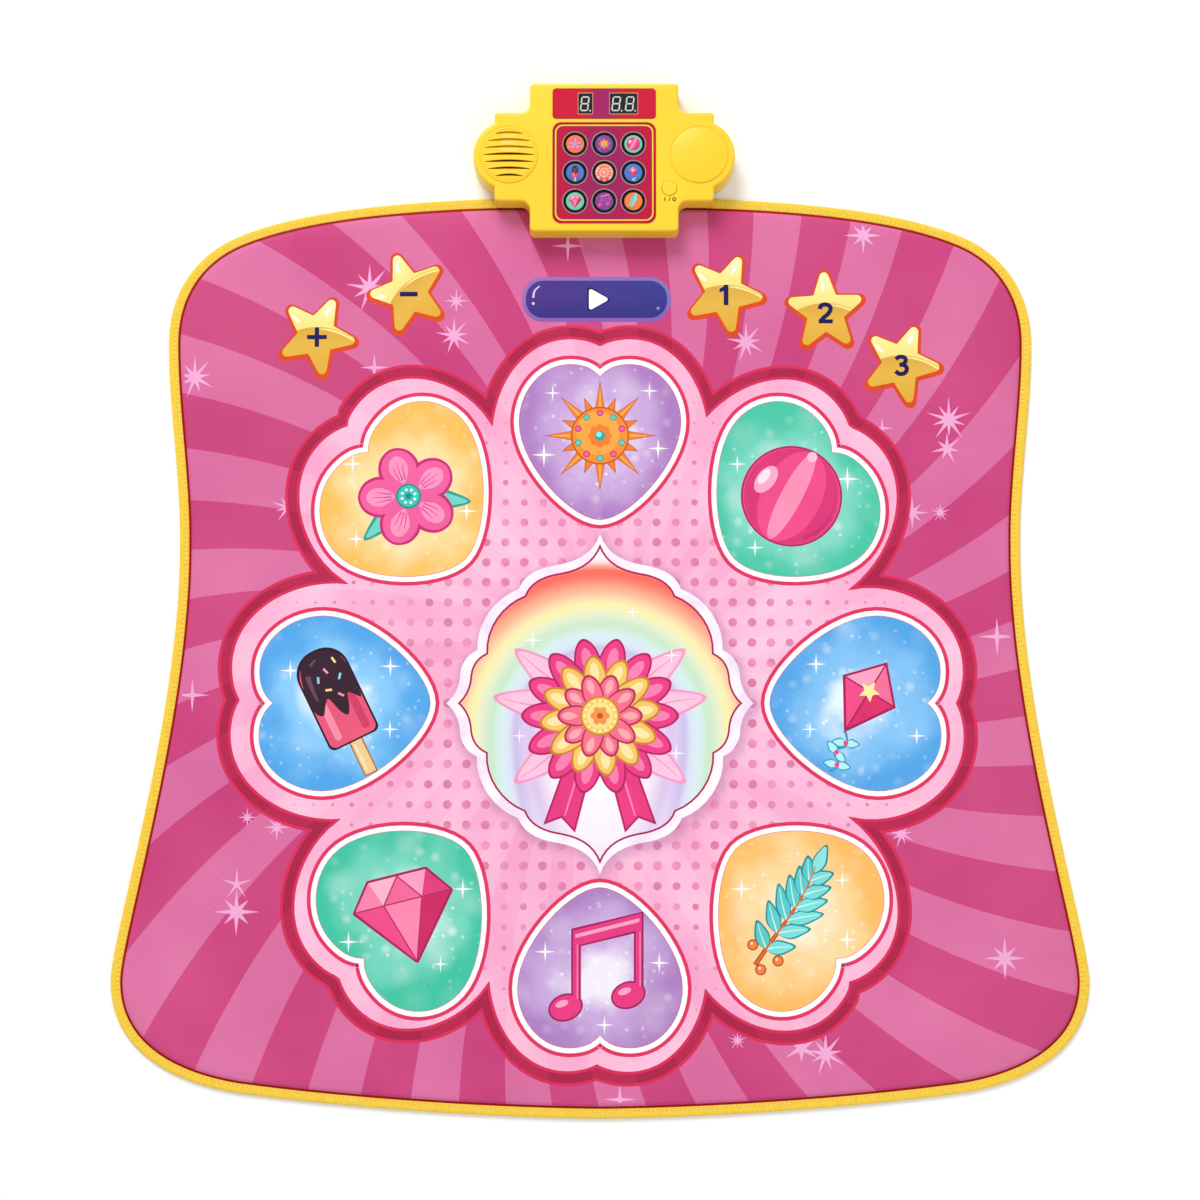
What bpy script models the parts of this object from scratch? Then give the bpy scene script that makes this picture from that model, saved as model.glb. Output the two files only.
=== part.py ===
"""Electronic dance mat: a laminated play mat with step pads and a console on its back edge.

Metres, +Z up. X runs across the mat, +Y runs from the player to the console, and the
origin is the middle of the footprint on the floor.
"""
import math

import bmesh
import bpy
from mathutils import Matrix, Vector
from mathutils.geometry import delaunay_2d_cdt

# Driving sizes: mat outline. Half widths are taken where the outline turns.
FRONT_REACH = 0.47645
FRONT_HALF_WIDTH = 0.4463
FRONT_SHOULDER = 0.12445
WAIST_HALF_WIDTH = 0.389
WAIST_Y = 0.048
BACK_HALF_WIDTH = 0.402
BACK_CORNER_Y = 0.238
MAT_BACK_Y = 0.375
OUTLINE_STEPS = 5

# Driving counts: sides of round pieces.
ROUND_SIDES = 12
SPEAKER_SIDES = 16
DISC_SIDES = 20
LAMP_SIDES = 6
POST_SIDES = 8
LOBE_STEPS = 6

# Driving sizes: mat layers, from the floor up.
GAP = 0.0003
SHEET_CLEARANCE = 0.0003
BACKING_THICKNESS = 0.0016
FILM_THICKNESS = 0.0004
SPACER_THICKNESS = 0.0020
COVER_THICKNESS = 0.0008
COVER_RIM_THICKNESS = 0.0007
BINDING_WIDTH = 0.0088
BINDING_THICKNESS = 0.0007
BINDING_BOW = 0.0009
BINDING_ROOM = 0.0006
RIM_SLOPE_WIDTH = 0.004
FILM_EDGE_INSET = 0.0172
PAD_DEPTH = 0.0019
WINDOW_MARGIN = 0.0008
CLAMP_HOLE_ROOM = 0.0010
TAIL_SLOT_ROOM = 0.0006

# Driving sizes: step pads. Each heart points at the middle of the dance circle.
CIRCLE_X = 0.0
CIRCLE_Y = -0.0994
HEART_BORDER = 0.0085
MEDALLION_HALF_WIDTH = 0.1413
MEDALLION_HALF_LENGTH = 0.1565

# Driving sizes: menu keys behind the circle.
STAR_RADIUS = 0.0463
STAR_VALLEY_RADIUS = 0.0209
STAR_TIP_ROUND = 0.0050
START_X = -0.0033
START_Y = 0.2774
START_LENGTH = 0.1390
START_WIDTH = 0.0425
START_CORNER = 0.0200

# Driving sizes: console shell.
CONSOLE_X = 0.0039
CONSOLE_BACK_Y = 0.47645
CONSOLE_FRONT_Y = 0.3355
BLOCK_WIDTH = 0.139
TAB_WIDTH = 0.205
TAB_FRONT_Y = 0.364
TAB_BACK_Y = 0.449
LOBE_OFFSET = 0.08825
LOBE_Y = 0.4082
LOBE_RADIUS = 0.0337
DISC_RADIUS = 0.0275
DISC_HEIGHT = 0.0008
DISC_EDGE = 0.0005
INNER_FILLET = 0.008
OUTER_FILLET = 0.005
BACK_FILLET = 0.0034
CONSOLE_TOP_Z = 0.0305
PARTING_Z = 0.0130
WALL = 0.0022
SHELL_ROUND = 0.0024
SHELL_DRAFT = 0.0006
MAT_CLEARANCE_Z = 0.0003
MAT_CLEARANCE_Y = 0.0025

# Driving sizes: console face.
LABEL_THICKNESS = 0.0004
DISPLAY_LABEL_WIDTH = 0.096
DISPLAY_LABEL_LENGTH = 0.0287
DISPLAY_LABEL_CORNER = 0.0027
DISPLAY_Y = 0.45665
INDICATOR_LABEL_WIDTH = 0.096
INDICATOR_LABEL_LENGTH = 0.0955
INDICATOR_LABEL_CORNER = 0.0083
INDICATOR_Y = 0.3912
LENS_PITCH = 0.027
BEZEL_RADIUS = 0.0109
BEZEL_HEIGHT = 0.0010
LENS_RADIUS = 0.0083
LENS_DOME = 0.0006
LENS_FLANGE = 0.0012
LENS_FLANGE_HEIGHT = 0.0008
FRAME_PLATE_THICKNESS = 0.0012
FRAME_PLATE_MARGIN = 0.0015
DIGIT_WIDTH = 0.0126
DIGIT_HEIGHT = 0.0190
DIGIT_DEPTH = 0.0080
LEVEL_X = -0.01745
SCORE_X = 0.01805
FIT = 0.0003
SLOT_COUNT = 7
SLOT_PITCH = 0.00665
SLOT_WIDTH = 0.0020
SLOT_FIELD_RADIUS = 0.0235
SLOT_ARCH = 0.0008

# Driving sizes: power button.
POWER_X = 0.0604
POWER_Y = 0.37675
POWER_RADIUS = 0.0069
POWER_HEIGHT = 0.0010
POWER_TRAVEL = 0.0015
POWER_FLANGE = 0.0016
POWER_FLANGE_HEIGHT = 0.0012

# Driving sizes: electronics.
BOARD_THICKNESS = 0.0016
BOARD_HALF_WIDTH = 0.052
BOARD_FRONT_Y = 0.3495
BOARD_BACK_Y = 0.4695
BOARD_EAR_X = 0.072
BOARD_EAR_HALF_LENGTH = 0.010
LAMP_RADIUS = 0.0025
CHIP_SIZE = 0.014
CHIP_HEIGHT = 0.0018
SWITCH_SIZE = 0.006
SOCKET_LENGTH = 0.006
SOCKET_DEPTH = 0.004
TAIL_END_DROP = 0.0022
SPEAKER_RADIUS = 0.0262
CONE_RADIUS = 0.0218
CONE_EDGE_GAP = 0.0003
CONE_THICKNESS = 0.0006
CONE_DEPTH = 0.0030
MAGNET_RADIUS = 0.0120
SPEAKER_FLANGE = 0.0012
SPEAKER_HEIGHT = 0.0115
COLLAR_HEIGHT = 0.0030
COLLAR_WALL = 0.0012
STANDOFF_RADIUS = 0.0026
PIN_RADIUS = 0.0013
STANDOFFS = ((-0.0465, 0.3565), (0.0465, 0.3565), (-0.0465, 0.4630), (0.0465, 0.4630))

# Driving sizes: power supply of three AA cells, side by side.
CELL_RADIUS = 0.00725
CELL_LENGTH = 0.0493
CELL_NUB_RADIUS = 0.00275
CELL_NUB_LENGTH = 0.0012
CELL_PITCH = 0.0152
CELL_COUNT = 3
BAY_Y = 0.4225
BAY_WALL = 0.0015
DOOR_THICKNESS = 0.0014
CONTACT_ROOM = 0.0030
DOOR_LAP = 0.0012
CONTACT_THICKNESS = 0.0004
CONTACT_SIZE = 0.0100
SPRING_WIRE = 0.0004
SPRING_TURNS = 2
LEAD_RADIUS = 0.0006
LEAD_SIDES = 8
LEAD_FLATNESS = 2.0

# Driving sizes: fasteners.
SCREW_HEAD_RADIUS = 0.0028
SCREW_HEAD_HEIGHT = 0.0018
SCREW_SHANK_RADIUS = 0.0014
BOSS_RADIUS = 0.0036
WELL_WALL = 0.0012
CLAMP_THICKNESS = 0.0012
CLAMP_WIDTH = 0.0116
CLAMP_LENGTH = 0.132
CLAMP_Y = 0.3430
CLAMP_SCREW_X = (-0.057, 0.0, 0.057)
CASE_SCREWS = ((-0.0595, 0.4685), (0.0595, 0.4685), (-0.0945, 0.4395), (0.0945, 0.4395))
TAIL_Y = 0.3540
TAIL_WIDTH = 0.024

# How far a cutter reaches past a face.
PAST = 0.001

# Places along the mat worked out from its reach.
FRONT_Y = -FRONT_REACH
FRONT_CORNER_Y = FRONT_Y + FRONT_SHOULDER

# Heights worked out from the layers.
BACKING_TOP = BACKING_THICKNESS
FILM_BOTTOM = BACKING_TOP + GAP
FILM_TOP = FILM_BOTTOM + FILM_THICKNESS
SPACER_BOTTOM = FILM_TOP + GAP
SPACER_TOP = SPACER_BOTTOM + SPACER_THICKNESS
COVER_BOTTOM = SPACER_TOP + GAP
COVER_TOP = COVER_BOTTOM + COVER_THICKNESS
BACKING_RIM_BOTTOM = BINDING_THICKNESS + GAP
COVER_RIM_BOTTOM = BACKING_TOP + GAP
COVER_RIM_TOP = COVER_RIM_BOTTOM + COVER_RIM_THICKNESS
BINDING_TOP = COVER_RIM_TOP + GAP + BINDING_THICKNESS
PAD_BOTTOM = COVER_TOP - PAD_DEPTH
STEP_Z = COVER_TOP + MAT_CLEARANCE_Z
STEP_Y = MAT_BACK_Y + MAT_CLEARANCE_Y
CEILING_Z = CONSOLE_TOP_Z - WALL
DOOR_TOP = GAP + DOOR_THICKNESS
LEDGE_Z = DOOR_TOP + GAP
CELL_Z = LEDGE_Z + CELL_RADIUS + FIT
BAY_ROOF_Z = CELL_Z + CELL_RADIUS + FIT
DIGIT_TOP_Z = CONSOLE_TOP_Z - FIT
BOARD_TOP = DIGIT_TOP_Z - DIGIT_DEPTH - GAP
BOARD_BOTTOM = BOARD_TOP - BOARD_THICKNESS
TAIL_TOP_Z = BOARD_BOTTOM - TAIL_END_DROP
SCREW_TIP_Z = CEILING_Z - 0.004
CASE_HEAD_Z = 0.0032
FRAME_TOP = CEILING_Z - GAP
FRAME_BOTTOM = FRAME_TOP - FRAME_PLATE_THICKNESS
LENS_TOP = CONSOLE_TOP_Z + BEZEL_HEIGHT
CELL_HALF = CELL_LENGTH / 2
BAY_HALF_LENGTH = CELL_HALF + CELL_NUB_LENGTH + CONTACT_ROOM
BAY_HALF_WIDTH = CELL_PITCH * CELL_COUNT / 2 + FIT

# The eight hearts: name, direction from the circle's middle in degrees, field width, field
# length, distance of the field's tip, and how the print is stretched across X and Y.
HEARTS = (
    ("pad_back", 90, 0.1500, 0.1452, 0.1700, 1.0, 1.0),
    ("pad_back_right", 45, 0.1625, 0.1390, 0.1738, 1.008, 1.09),
    ("pad_right", 0, 0.1608, 0.1570, 0.1562, 1.0, 1.0),
    ("pad_front_right", -45, 0.1625, 0.1390, 0.1738, 1.008, 1.09),
    ("pad_front", -90, 0.1500, 0.1445, 0.1687, 1.0, 1.0),
    ("pad_front_left", -135, 0.1625, 0.1390, 0.1738, 1.008, 1.09),
    ("pad_left", 180, 0.1608, 0.1570, 0.1562, 1.0, 1.0),
    ("pad_back_left", 135, 0.1625, 0.1390, 0.1738, 1.008, 1.09),
)

# The five star keys: name, middle, and the direction of one tip in degrees.
STARS = (
    ("key_plus", -0.2637, 0.2417, 64),
    ("key_minus", -0.1784, 0.2823, 110),
    ("key_one", 0.1163, 0.2815, 66),
    ("key_two", 0.2104, 0.2644, 92),
    ("key_three", 0.2806, 0.2150, 67),
)


def clear_scene():
    """Remove everything that the file opened with."""
    for item in list(bpy.data.objects):
        bpy.data.objects.remove(item, do_unlink=True)


def material(name, color, roughness, metallic=0.0):
    """A Principled material of one colour."""
    made = bpy.data.materials.get(name)
    if made is None:
        made = bpy.data.materials.new(name)
        made.use_nodes = True
        shader = made.node_tree.nodes["Principled BSDF"]
        shader.inputs["Base Color"].default_value = (*color, 1.0)
        shader.inputs["Roughness"].default_value = roughness
        shader.inputs["Metallic"].default_value = metallic
    return made


def shell_yellow():
    return material("shell_yellow", (0.98, 0.70, 0.04), 0.35)


def black_plastic():
    return material("black_plastic", (0.015, 0.015, 0.018), 0.4)


def steel():
    return material("steel", (0.62, 0.62, 0.64), 0.3, 1.0)


def print_pink():
    return material("print_pink", (0.85, 0.20, 0.42), 0.5)


# Outline helpers. A loop is a list of (x, y) that runs anticlockwise.

def bezier(start, lead, trail, end, steps):
    """Points of a cubic curve, without its last one."""
    points = []
    for index in range(steps):
        t = index / steps
        s = 1.0 - t
        points.append(tuple(
            s ** 3 * a + 3 * s * s * t * b + 3 * s * t * t * c + t ** 3 * d
            for a, b, c, d in zip(start, lead, trail, end)
        ))
    return points


def inset(loop, distance):
    """The loop moved inwards by a distance, each corner along its mitre."""
    moved = []
    count = len(loop)
    for index, point in enumerate(loop):
        before = Vector(loop[index - 1])
        here = Vector(point)
        after = Vector(loop[(index + 1) % count])
        first = (here - before).normalized()
        second = (after - here).normalized()
        normal = Vector((-first.y - second.y, first.x + second.x)).normalized()
        reach = max(0.35, normal.dot(Vector((-first.y, first.x))))
        moved.append(tuple(here + normal * (distance / reach)))
    return moved


def rounded(corners, steps=3):
    """A polygon of (x, y, radius) corners with an arc at each corner that has a radius."""
    loop = []
    count = len(corners)
    for index, (x, y, radius) in enumerate(corners):
        here = Vector((x, y))
        if radius <= 0:
            loop.append((x, y))
            continue
        before = (Vector(corners[index - 1][:2]) - here).normalized()
        after = (Vector(corners[(index + 1) % count][:2]) - here).normalized()
        half = before.angle(after) / 2
        centre = here + (before + after).normalized() * (radius / math.sin(half))
        begin = here + before * (radius / math.tan(half)) - centre
        sweep = math.pi - 2 * half
        turn = -1 if before.cross(after) > 0 else 1
        for step in range(steps + 1):
            arm = begin.copy()
            arm.rotate(Matrix.Rotation(turn * sweep * step / steps, 2))
            loop.append(tuple(centre + arm))
    return loop


def rectangle(x, y, width, length, corner=0.0, steps=3):
    """A rectangle round a middle point, with round corners if asked."""
    w = width / 2
    h = length / 2
    return rounded([
        (x - w, y - h, corner), (x + w, y - h, corner),
        (x + w, y + h, corner), (x - w, y + h, corner),
    ], steps)


def circle(x, y, radius, count):
    """A regular polygon on a circle."""
    return [
        (x + radius * math.cos(math.tau * index / count),
         y + radius * math.sin(math.tau * index / count))
        for index in range(count)
    ]


# Outlines of the real pieces.

def mat_outline():
    """The mat's edge: a shallow front curve, a waist and rounded back shoulders."""
    front = (0.0, FRONT_Y)
    front_turn = (FRONT_HALF_WIDTH * 0.739, FRONT_Y + 0.023)
    wide = (FRONT_HALF_WIDTH, FRONT_CORNER_Y)
    waist = (WAIST_HALF_WIDTH, WAIST_Y)
    shoulder = (BACK_HALF_WIDTH, BACK_CORNER_Y)
    back_turn = (BACK_HALF_WIDTH * 0.846, MAT_BACK_Y - 0.0385)
    back = (0.0, MAT_BACK_Y)
    half = bezier(front, (0.10, FRONT_Y + 0.001), (front_turn[0] - 0.10, front_turn[1] - 0.0135),
                  front_turn, OUTLINE_STEPS)
    half += bezier(front_turn, (front_turn[0] + 0.065, front_turn[1] + 0.0105),
                   (wide[0], wide[1] - 0.06), wide, OUTLINE_STEPS)
    half += bezier(wide, (wide[0], wide[1] + 0.042), (waist[0] - 0.003, waist[1] - 0.158),
                   waist, OUTLINE_STEPS)
    half += bezier(waist, (waist[0], waist[1] + 0.062), (shoulder[0], shoulder[1] - 0.058),
                   shoulder, 3)
    half += bezier(shoulder, (shoulder[0], shoulder[1] + 0.05),
                   (back_turn[0] + 0.035, back_turn[1] - 0.0155), back_turn, OUTLINE_STEPS)
    half += bezier(back_turn, (back_turn[0] - 0.055, back_turn[1] + 0.024),
                   (back_turn[0] - 0.15, back[1]), back, OUTLINE_STEPS)
    return half + [back] + [(-x, y) for x, y in reversed(half[1:])]


def heart_half(width, length):
    """Right half of a heart from its tip at the origin up to its notch, point by point."""
    half = width / 2
    side = (half, 0.627 * length)
    lobe = (0.375 * half, length)
    notch = (0.0, 0.919 * length)
    points = bezier((0.0, 0.0), (0.36 * half, 0.0), (half, 0.36 * length), side, 4)
    points += bezier(side, (half, 0.83 * length), (0.72 * half, length), lobe, 3)
    points += bezier(lobe, (0.20 * half, length), (0.09 * half, 0.975 * length), notch, 2)
    return points + [notch]


def heart(direction, width, length, distance, stretch_x, stretch_y):
    """A printed heart whose tip points at the middle of the dance circle."""
    right = heart_half(width, length)
    loop = right + [(-x, y) for x, y in reversed(right[1:-1])]
    turn = math.radians(direction - 90)
    placed = []
    for x, y in loop:
        out = y + distance
        placed.append((
            CIRCLE_X + stretch_x * (math.cos(turn) * x - math.sin(turn) * out),
            CIRCLE_Y + stretch_y * (math.sin(turn) * x + math.cos(turn) * out),
        ))
    return inset(placed, -HEART_BORDER)


def medallion():
    """The middle pad: four ogee points joined by shallow cusped lobes."""
    w = MEDALLION_HALF_WIDTH
    h = MEDALLION_HALF_LENGTH
    quarter = bezier((0.0, h), (0.05 * w, 0.87 * h), (0.17 * w, 0.83 * h), (0.32 * w, 0.81 * h), 3)
    quarter += bezier((0.32 * w, 0.81 * h), (0.42 * w, 0.79 * h), (0.50 * w, 0.75 * h),
                      (0.53 * w, 0.674 * h), 2)
    quarter += bezier((0.53 * w, 0.674 * h), (0.69 * w, 0.62 * h), (0.81 * w, 0.47 * h),
                      (0.80 * w, 0.313 * h), 3)
    quarter += bezier((0.80 * w, 0.313 * h), (0.88 * w, 0.28 * h), (0.91 * w, 0.22 * h),
                      (0.913 * w, 0.153 * h), 2)
    quarter += bezier((0.913 * w, 0.153 * h), (0.92 * w, 0.09 * h), (0.95 * w, 0.04 * h), (w, 0.0), 2)
    north_east = list(reversed(quarter))
    east = [(w, 0.0)] + north_east
    west = [(-x, y) for x, y in quarter[1:]] + [(-w, 0.0)]
    upper = east + west
    lower = [(x, -y) for x, y in reversed(upper[1:-1])]
    return [(CIRCLE_X + x, CIRCLE_Y + y) for x, y in upper + lower]


def star(x, y, direction):
    """A star key with round tips."""
    corners = []
    for index in range(10):
        angle = math.radians(direction + 36 * index)
        tip = index % 2 == 0
        radius = STAR_RADIUS if tip else STAR_VALLEY_RADIUS
        corners.append((x + radius * math.cos(angle), y + radius * math.sin(angle),
                        STAR_TIP_ROUND if tip else 0.0))
    return rounded(corners, 2)


def pads():
    """Every pressable print with its outline: eight hearts, the medallion and the keys."""
    shapes = [(name, heart(*sizes)) for name, *sizes in HEARTS]
    shapes.append(("pad_centre", medallion()))
    shapes += [(name, star(*place)) for name, *place in STARS]
    shapes.append(("key_start", rectangle(START_X, START_Y, START_LENGTH, START_WIDTH, START_CORNER)))
    return shapes


def console_outline():
    """The console from above: a block, a wide tab band and a round lobe at each end."""
    block = BLOCK_WIDTH / 2
    tab = TAB_WIDTH / 2
    reach = tab - LOBE_OFFSET
    start = math.asin(min(0.98, math.sqrt(max(0.0, LOBE_RADIUS ** 2 - reach ** 2)) / LOBE_RADIUS))
    lobe = []
    for index in range(LOBE_STEPS + 1):
        angle = -start + 2 * start * index / LOBE_STEPS
        lobe.append((LOBE_OFFSET + LOBE_RADIUS * math.cos(angle),
                     LOBE_Y + LOBE_RADIUS * math.sin(angle), 0.0))
    right = [
        (block, CONSOLE_FRONT_Y, OUTER_FILLET),
        (block, TAB_FRONT_Y, INNER_FILLET),
        (tab, TAB_FRONT_Y, OUTER_FILLET),
        *lobe,
        (tab, TAB_BACK_Y, BACK_FILLET),
        (block, TAB_BACK_Y, INNER_FILLET),
        (block, CONSOLE_BACK_Y, BACK_FILLET),
    ]
    corners = right + [(-x, y, radius) for x, y, radius in reversed(right)]
    return [(CONSOLE_X + x, y) for x, y in rounded(corners, 2)]


# Solids.

def new_object(name, mesh, surface):
    """Link a mesh as a named object with one material."""
    item = bpy.data.objects.new(name, mesh)
    bpy.context.scene.collection.objects.link(item)
    mesh.materials.clear()
    if surface is not None:
        mesh.materials.append(surface)
    mesh.shade_smooth()
    mesh.set_sharp_from_angle(angle=math.radians(30))
    return item


def mesh_from(name, vertices, faces):
    """A mesh whose faces all point outwards."""
    mesh = bpy.data.meshes.new(name)
    mesh.from_pydata([tuple(v) for v in vertices], [], faces)
    shape = bmesh.new()
    shape.from_mesh(mesh)
    bmesh.ops.recalc_face_normals(shape, faces=shape.faces)
    if shape.calc_volume(signed=True) < 0:
        bmesh.ops.reverse_faces(shape, faces=shape.faces)
    shape.to_mesh(mesh)
    shape.free()
    return mesh


def within(point, loop):
    """Whether a point lies inside a loop."""
    x, y = point
    inside = False
    for (ax, ay), (bx, by) in zip(loop, loop[1:] + loop[:1]):
        if (ay > y) != (by > y) and x < ax + (y - ay) / (by - ay) * (bx - ax):
            inside = not inside
    return inside


def field_triangles(outline, holes):
    """Triangles that fill an outline round its holes, as places in the joined loops."""
    points = []
    edges = []
    for loop in [outline, *holes]:
        first = len(points)
        points += [Vector(point) for point in loop]
        edges += [(first + i, first + (i + 1) % len(loop)) for i in range(len(loop))]
    places, _, faces, origins, _, _ = delaunay_2d_cdt(points, edges, [], 1, 1e-7)
    triangles = []
    for face in faces:
        centre = sum((places[i] for i in face), Vector((0.0, 0.0))) / 3
        if within(centre, outline) and not any(within(centre, hole) for hole in holes):
            triangles.append([origins[i][0] for i in face])
    return triangles


def sheet(name, rings, holes, surface):
    """A plate with a shaped edge and holes right through it.

    rings is a list of (loop, top z, bottom z) from the edge inwards; every loop has as many
    points. The last ring carries the flat field, which has the holes.
    """
    vertices = []
    faces = []
    count = len(rings[0][0])
    layers = []
    for loop, top, bottom in rings:
        upper = range(len(vertices), len(vertices) + count)
        vertices += [(x, y, top) for x, y in loop]
        lower = range(len(vertices), len(vertices) + count)
        vertices += [(x, y, bottom) for x, y in loop]
        layers.append((upper, lower))
    first_upper, first_lower = layers[0]
    for i in range(count):
        j = (i + 1) % count
        faces.append((first_lower[i], first_lower[j], first_upper[j], first_upper[i]))
    for (outer_up, outer_low), (inner_up, inner_low) in zip(layers, layers[1:]):
        for i in range(count):
            j = (i + 1) % count
            faces.append((outer_up[i], outer_up[j], inner_up[j], inner_up[i]))
            faces.append((outer_low[j], outer_low[i], inner_low[i], inner_low[j]))
    loop, top, bottom = rings[-1]
    field_upper = list(layers[-1][0])
    field_lower = list(layers[-1][1])
    for hole in holes:
        size = len(hole)
        upper = range(len(vertices), len(vertices) + size)
        vertices += [(x, y, top) for x, y in hole]
        lower = range(len(vertices), len(vertices) + size)
        vertices += [(x, y, bottom) for x, y in hole]
        for i in range(size):
            j = (i + 1) % size
            faces.append((upper[i], upper[j], lower[j], lower[i]))
        field_upper += list(upper)
        field_lower += list(lower)
    for a, b, c in field_triangles(loop, holes):
        faces.append((field_upper[a], field_upper[b], field_upper[c]))
        faces.append((field_lower[c], field_lower[b], field_lower[a]))
    return new_object(name, mesh_from(name, vertices, faces), surface)


def loft(name, rings, surface=None):
    """A closed solid through (loop, z) rings of equally many points, capped at both ends."""
    vertices = []
    faces = []
    count = len(rings[0][0])
    for loop, z in rings:
        vertices += [(x, y, z) for x, y in loop]
    for level in range(len(rings) - 1):
        low = level * count
        high = low + count
        for i in range(count):
            j = (i + 1) % count
            faces.append((low + i, low + j, high + j, high + i))
    last = (len(rings) - 1) * count
    faces.append(tuple(reversed(range(count))))
    faces.append(tuple(range(last, last + count)))
    return new_object(name, mesh_from(name, vertices, faces), surface)


def prism(name, loop, bottom, top, surface=None, holes=()):
    """A loop raised between two heights."""
    if holes:
        return sheet(name, [(loop, top, bottom)], holes, surface)
    return loft(name, [(loop, bottom), (loop, top)], surface)


def turned(name, profile, x, y, surface=None, count=ROUND_SIDES):
    """A solid of revolution about a vertical axis from (radius, z) points, bottom to top."""
    rings = [(circle(x, y, max(radius, 0.0001), count), z) for radius, z in profile]
    return loft(name, rings, surface)


def combine(target, others, operation):
    """Join or cut a solid with others, then drop the others."""
    for other in others:
        modifier = target.modifiers.new("combine", "BOOLEAN")
        modifier.operation = operation
        modifier.solver = "EXACT"
        modifier.object = other
    graph = bpy.context.evaluated_depsgraph_get()
    mesh = bpy.data.meshes.new_from_object(target.evaluated_get(graph))
    surfaces = list(target.data.materials)
    target.modifiers.clear()
    target.data = mesh
    mesh.materials.clear()
    for surface in surfaces:
        mesh.materials.append(surface)
    for other in others:
        bpy.data.objects.remove(other, do_unlink=True)
    return target


def cut(target, *others):
    return combine(target, others, "DIFFERENCE")


def join(target, *others):
    return combine(target, others, "UNION")


def box(name, x, y, bottom, top, width, length, surface=None):
    """An upright block round a middle point."""
    return prism(name, rectangle(x, y, width, length), bottom, top, surface)


def set_origin(item, place):
    """Move an object's origin without moving its shape."""
    item.data.transform(Matrix.Translation(-Vector(place)))
    item.location = place


def middle(loop):
    """The middle of a loop's extent."""
    xs = [x for x, y in loop]
    ys = [y for x, y in loop]
    return (min(xs) + max(xs)) / 2, (min(ys) + max(ys)) / 2


# The mat's layers.

def clamp_holes(radius):
    return [circle(CONSOLE_X + x, CLAMP_Y, radius, POST_SIDES) for x in CLAMP_SCREW_X]


def tail_slot(clearance):
    """The slot that the film's tail rises through."""
    return rectangle(CONSOLE_X, TAIL_Y, TAIL_WIDTH + 2 * clearance, FILM_THICKNESS + 2 * clearance)


def edge_binding():
    """Folded tape round the whole edge: a flange above and below, and a round outer wall."""
    edge = mat_outline()
    middle_z = BINDING_TOP / 2
    profile = [
        (BINDING_WIDTH, 0.0), (BINDING_BOW, 0.0), (0.0, middle_z), (BINDING_BOW, BINDING_TOP),
        (BINDING_WIDTH, BINDING_TOP), (BINDING_WIDTH, BINDING_TOP - BINDING_THICKNESS),
        (BINDING_THICKNESS + BINDING_ROOM, BINDING_TOP - BINDING_THICKNESS),
        (BINDING_THICKNESS + BINDING_ROOM, BINDING_THICKNESS), (BINDING_WIDTH, BINDING_THICKNESS),
    ]
    loops = [(inset(edge, depth), z) for depth, z in profile]
    count = len(edge)
    vertices = [(x, y, z) for loop, z in loops for x, y in loop]
    faces = []
    for ring in range(len(loops)):
        after = (ring + 1) % len(loops)
        for i in range(count):
            j = (i + 1) % count
            faces.append((ring * count + i, ring * count + j, after * count + j, after * count + i))
    surface = material("binding_yellow", (0.95, 0.60, 0.03), 0.7)
    return new_object("edge_binding", mesh_from("edge_binding", vertices, faces), surface)


def rim_insets():
    """Where the sheets' flat rim starts, where it ends and where the field starts."""
    start = BINDING_THICKNESS + BINDING_ROOM + GAP
    end = BINDING_WIDTH + GAP
    return start, end, end + RIM_SLOPE_WIDTH


def backing_sheet():
    """The anti-slip underside, with a thin rim inside the binding."""
    edge = mat_outline()
    start, end, _ = rim_insets()
    rings = [
        (inset(edge, start), BACKING_TOP, BACKING_RIM_BOTTOM),
        (inset(edge, end), BACKING_TOP, BACKING_RIM_BOTTOM),
        (inset(edge, end + GAP), BACKING_TOP, 0.0),
    ]
    opening = rectangle(CONSOLE_X, CLAMP_Y, CLAMP_LENGTH + 2 * GAP, CLAMP_WIDTH + 2 * GAP)
    return sheet("backing_sheet", rings, [opening], material("backing_grey", (0.35, 0.35, 0.37), 0.85))


def circuit_film():
    """The printed contact film, whose tail rises into the console."""
    edge = inset(mat_outline(), FILM_EDGE_INSET)
    surface = material("film_clear", (0.80, 0.82, 0.80), 0.3)
    film = prism("circuit_film", edge, FILM_BOTTOM, FILM_TOP, surface,
                 clamp_holes(SCREW_SHANK_RADIUS + CLAMP_HOLE_ROOM))
    tail = box("tail", CONSOLE_X, TAIL_Y, FILM_BOTTOM + 0.0001, TAIL_TOP_Z, TAIL_WIDTH, FILM_THICKNESS)
    return join(film, tail)


def spacer_foam(shapes):
    """The foam that holds the pads off the film, with a window under each."""
    edge = inset(mat_outline(), FILM_EDGE_INSET)
    windows = [inset(loop, -WINDOW_MARGIN) for _, loop in shapes]
    holes = windows + clamp_holes(SCREW_SHANK_RADIUS + CLAMP_HOLE_ROOM) + [tail_slot(TAIL_SLOT_ROOM)]
    return prism("spacer_foam", edge, SPACER_BOTTOM, SPACER_TOP,
                 material("foam_white", (0.85, 0.85, 0.83), 0.9), holes)


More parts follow.
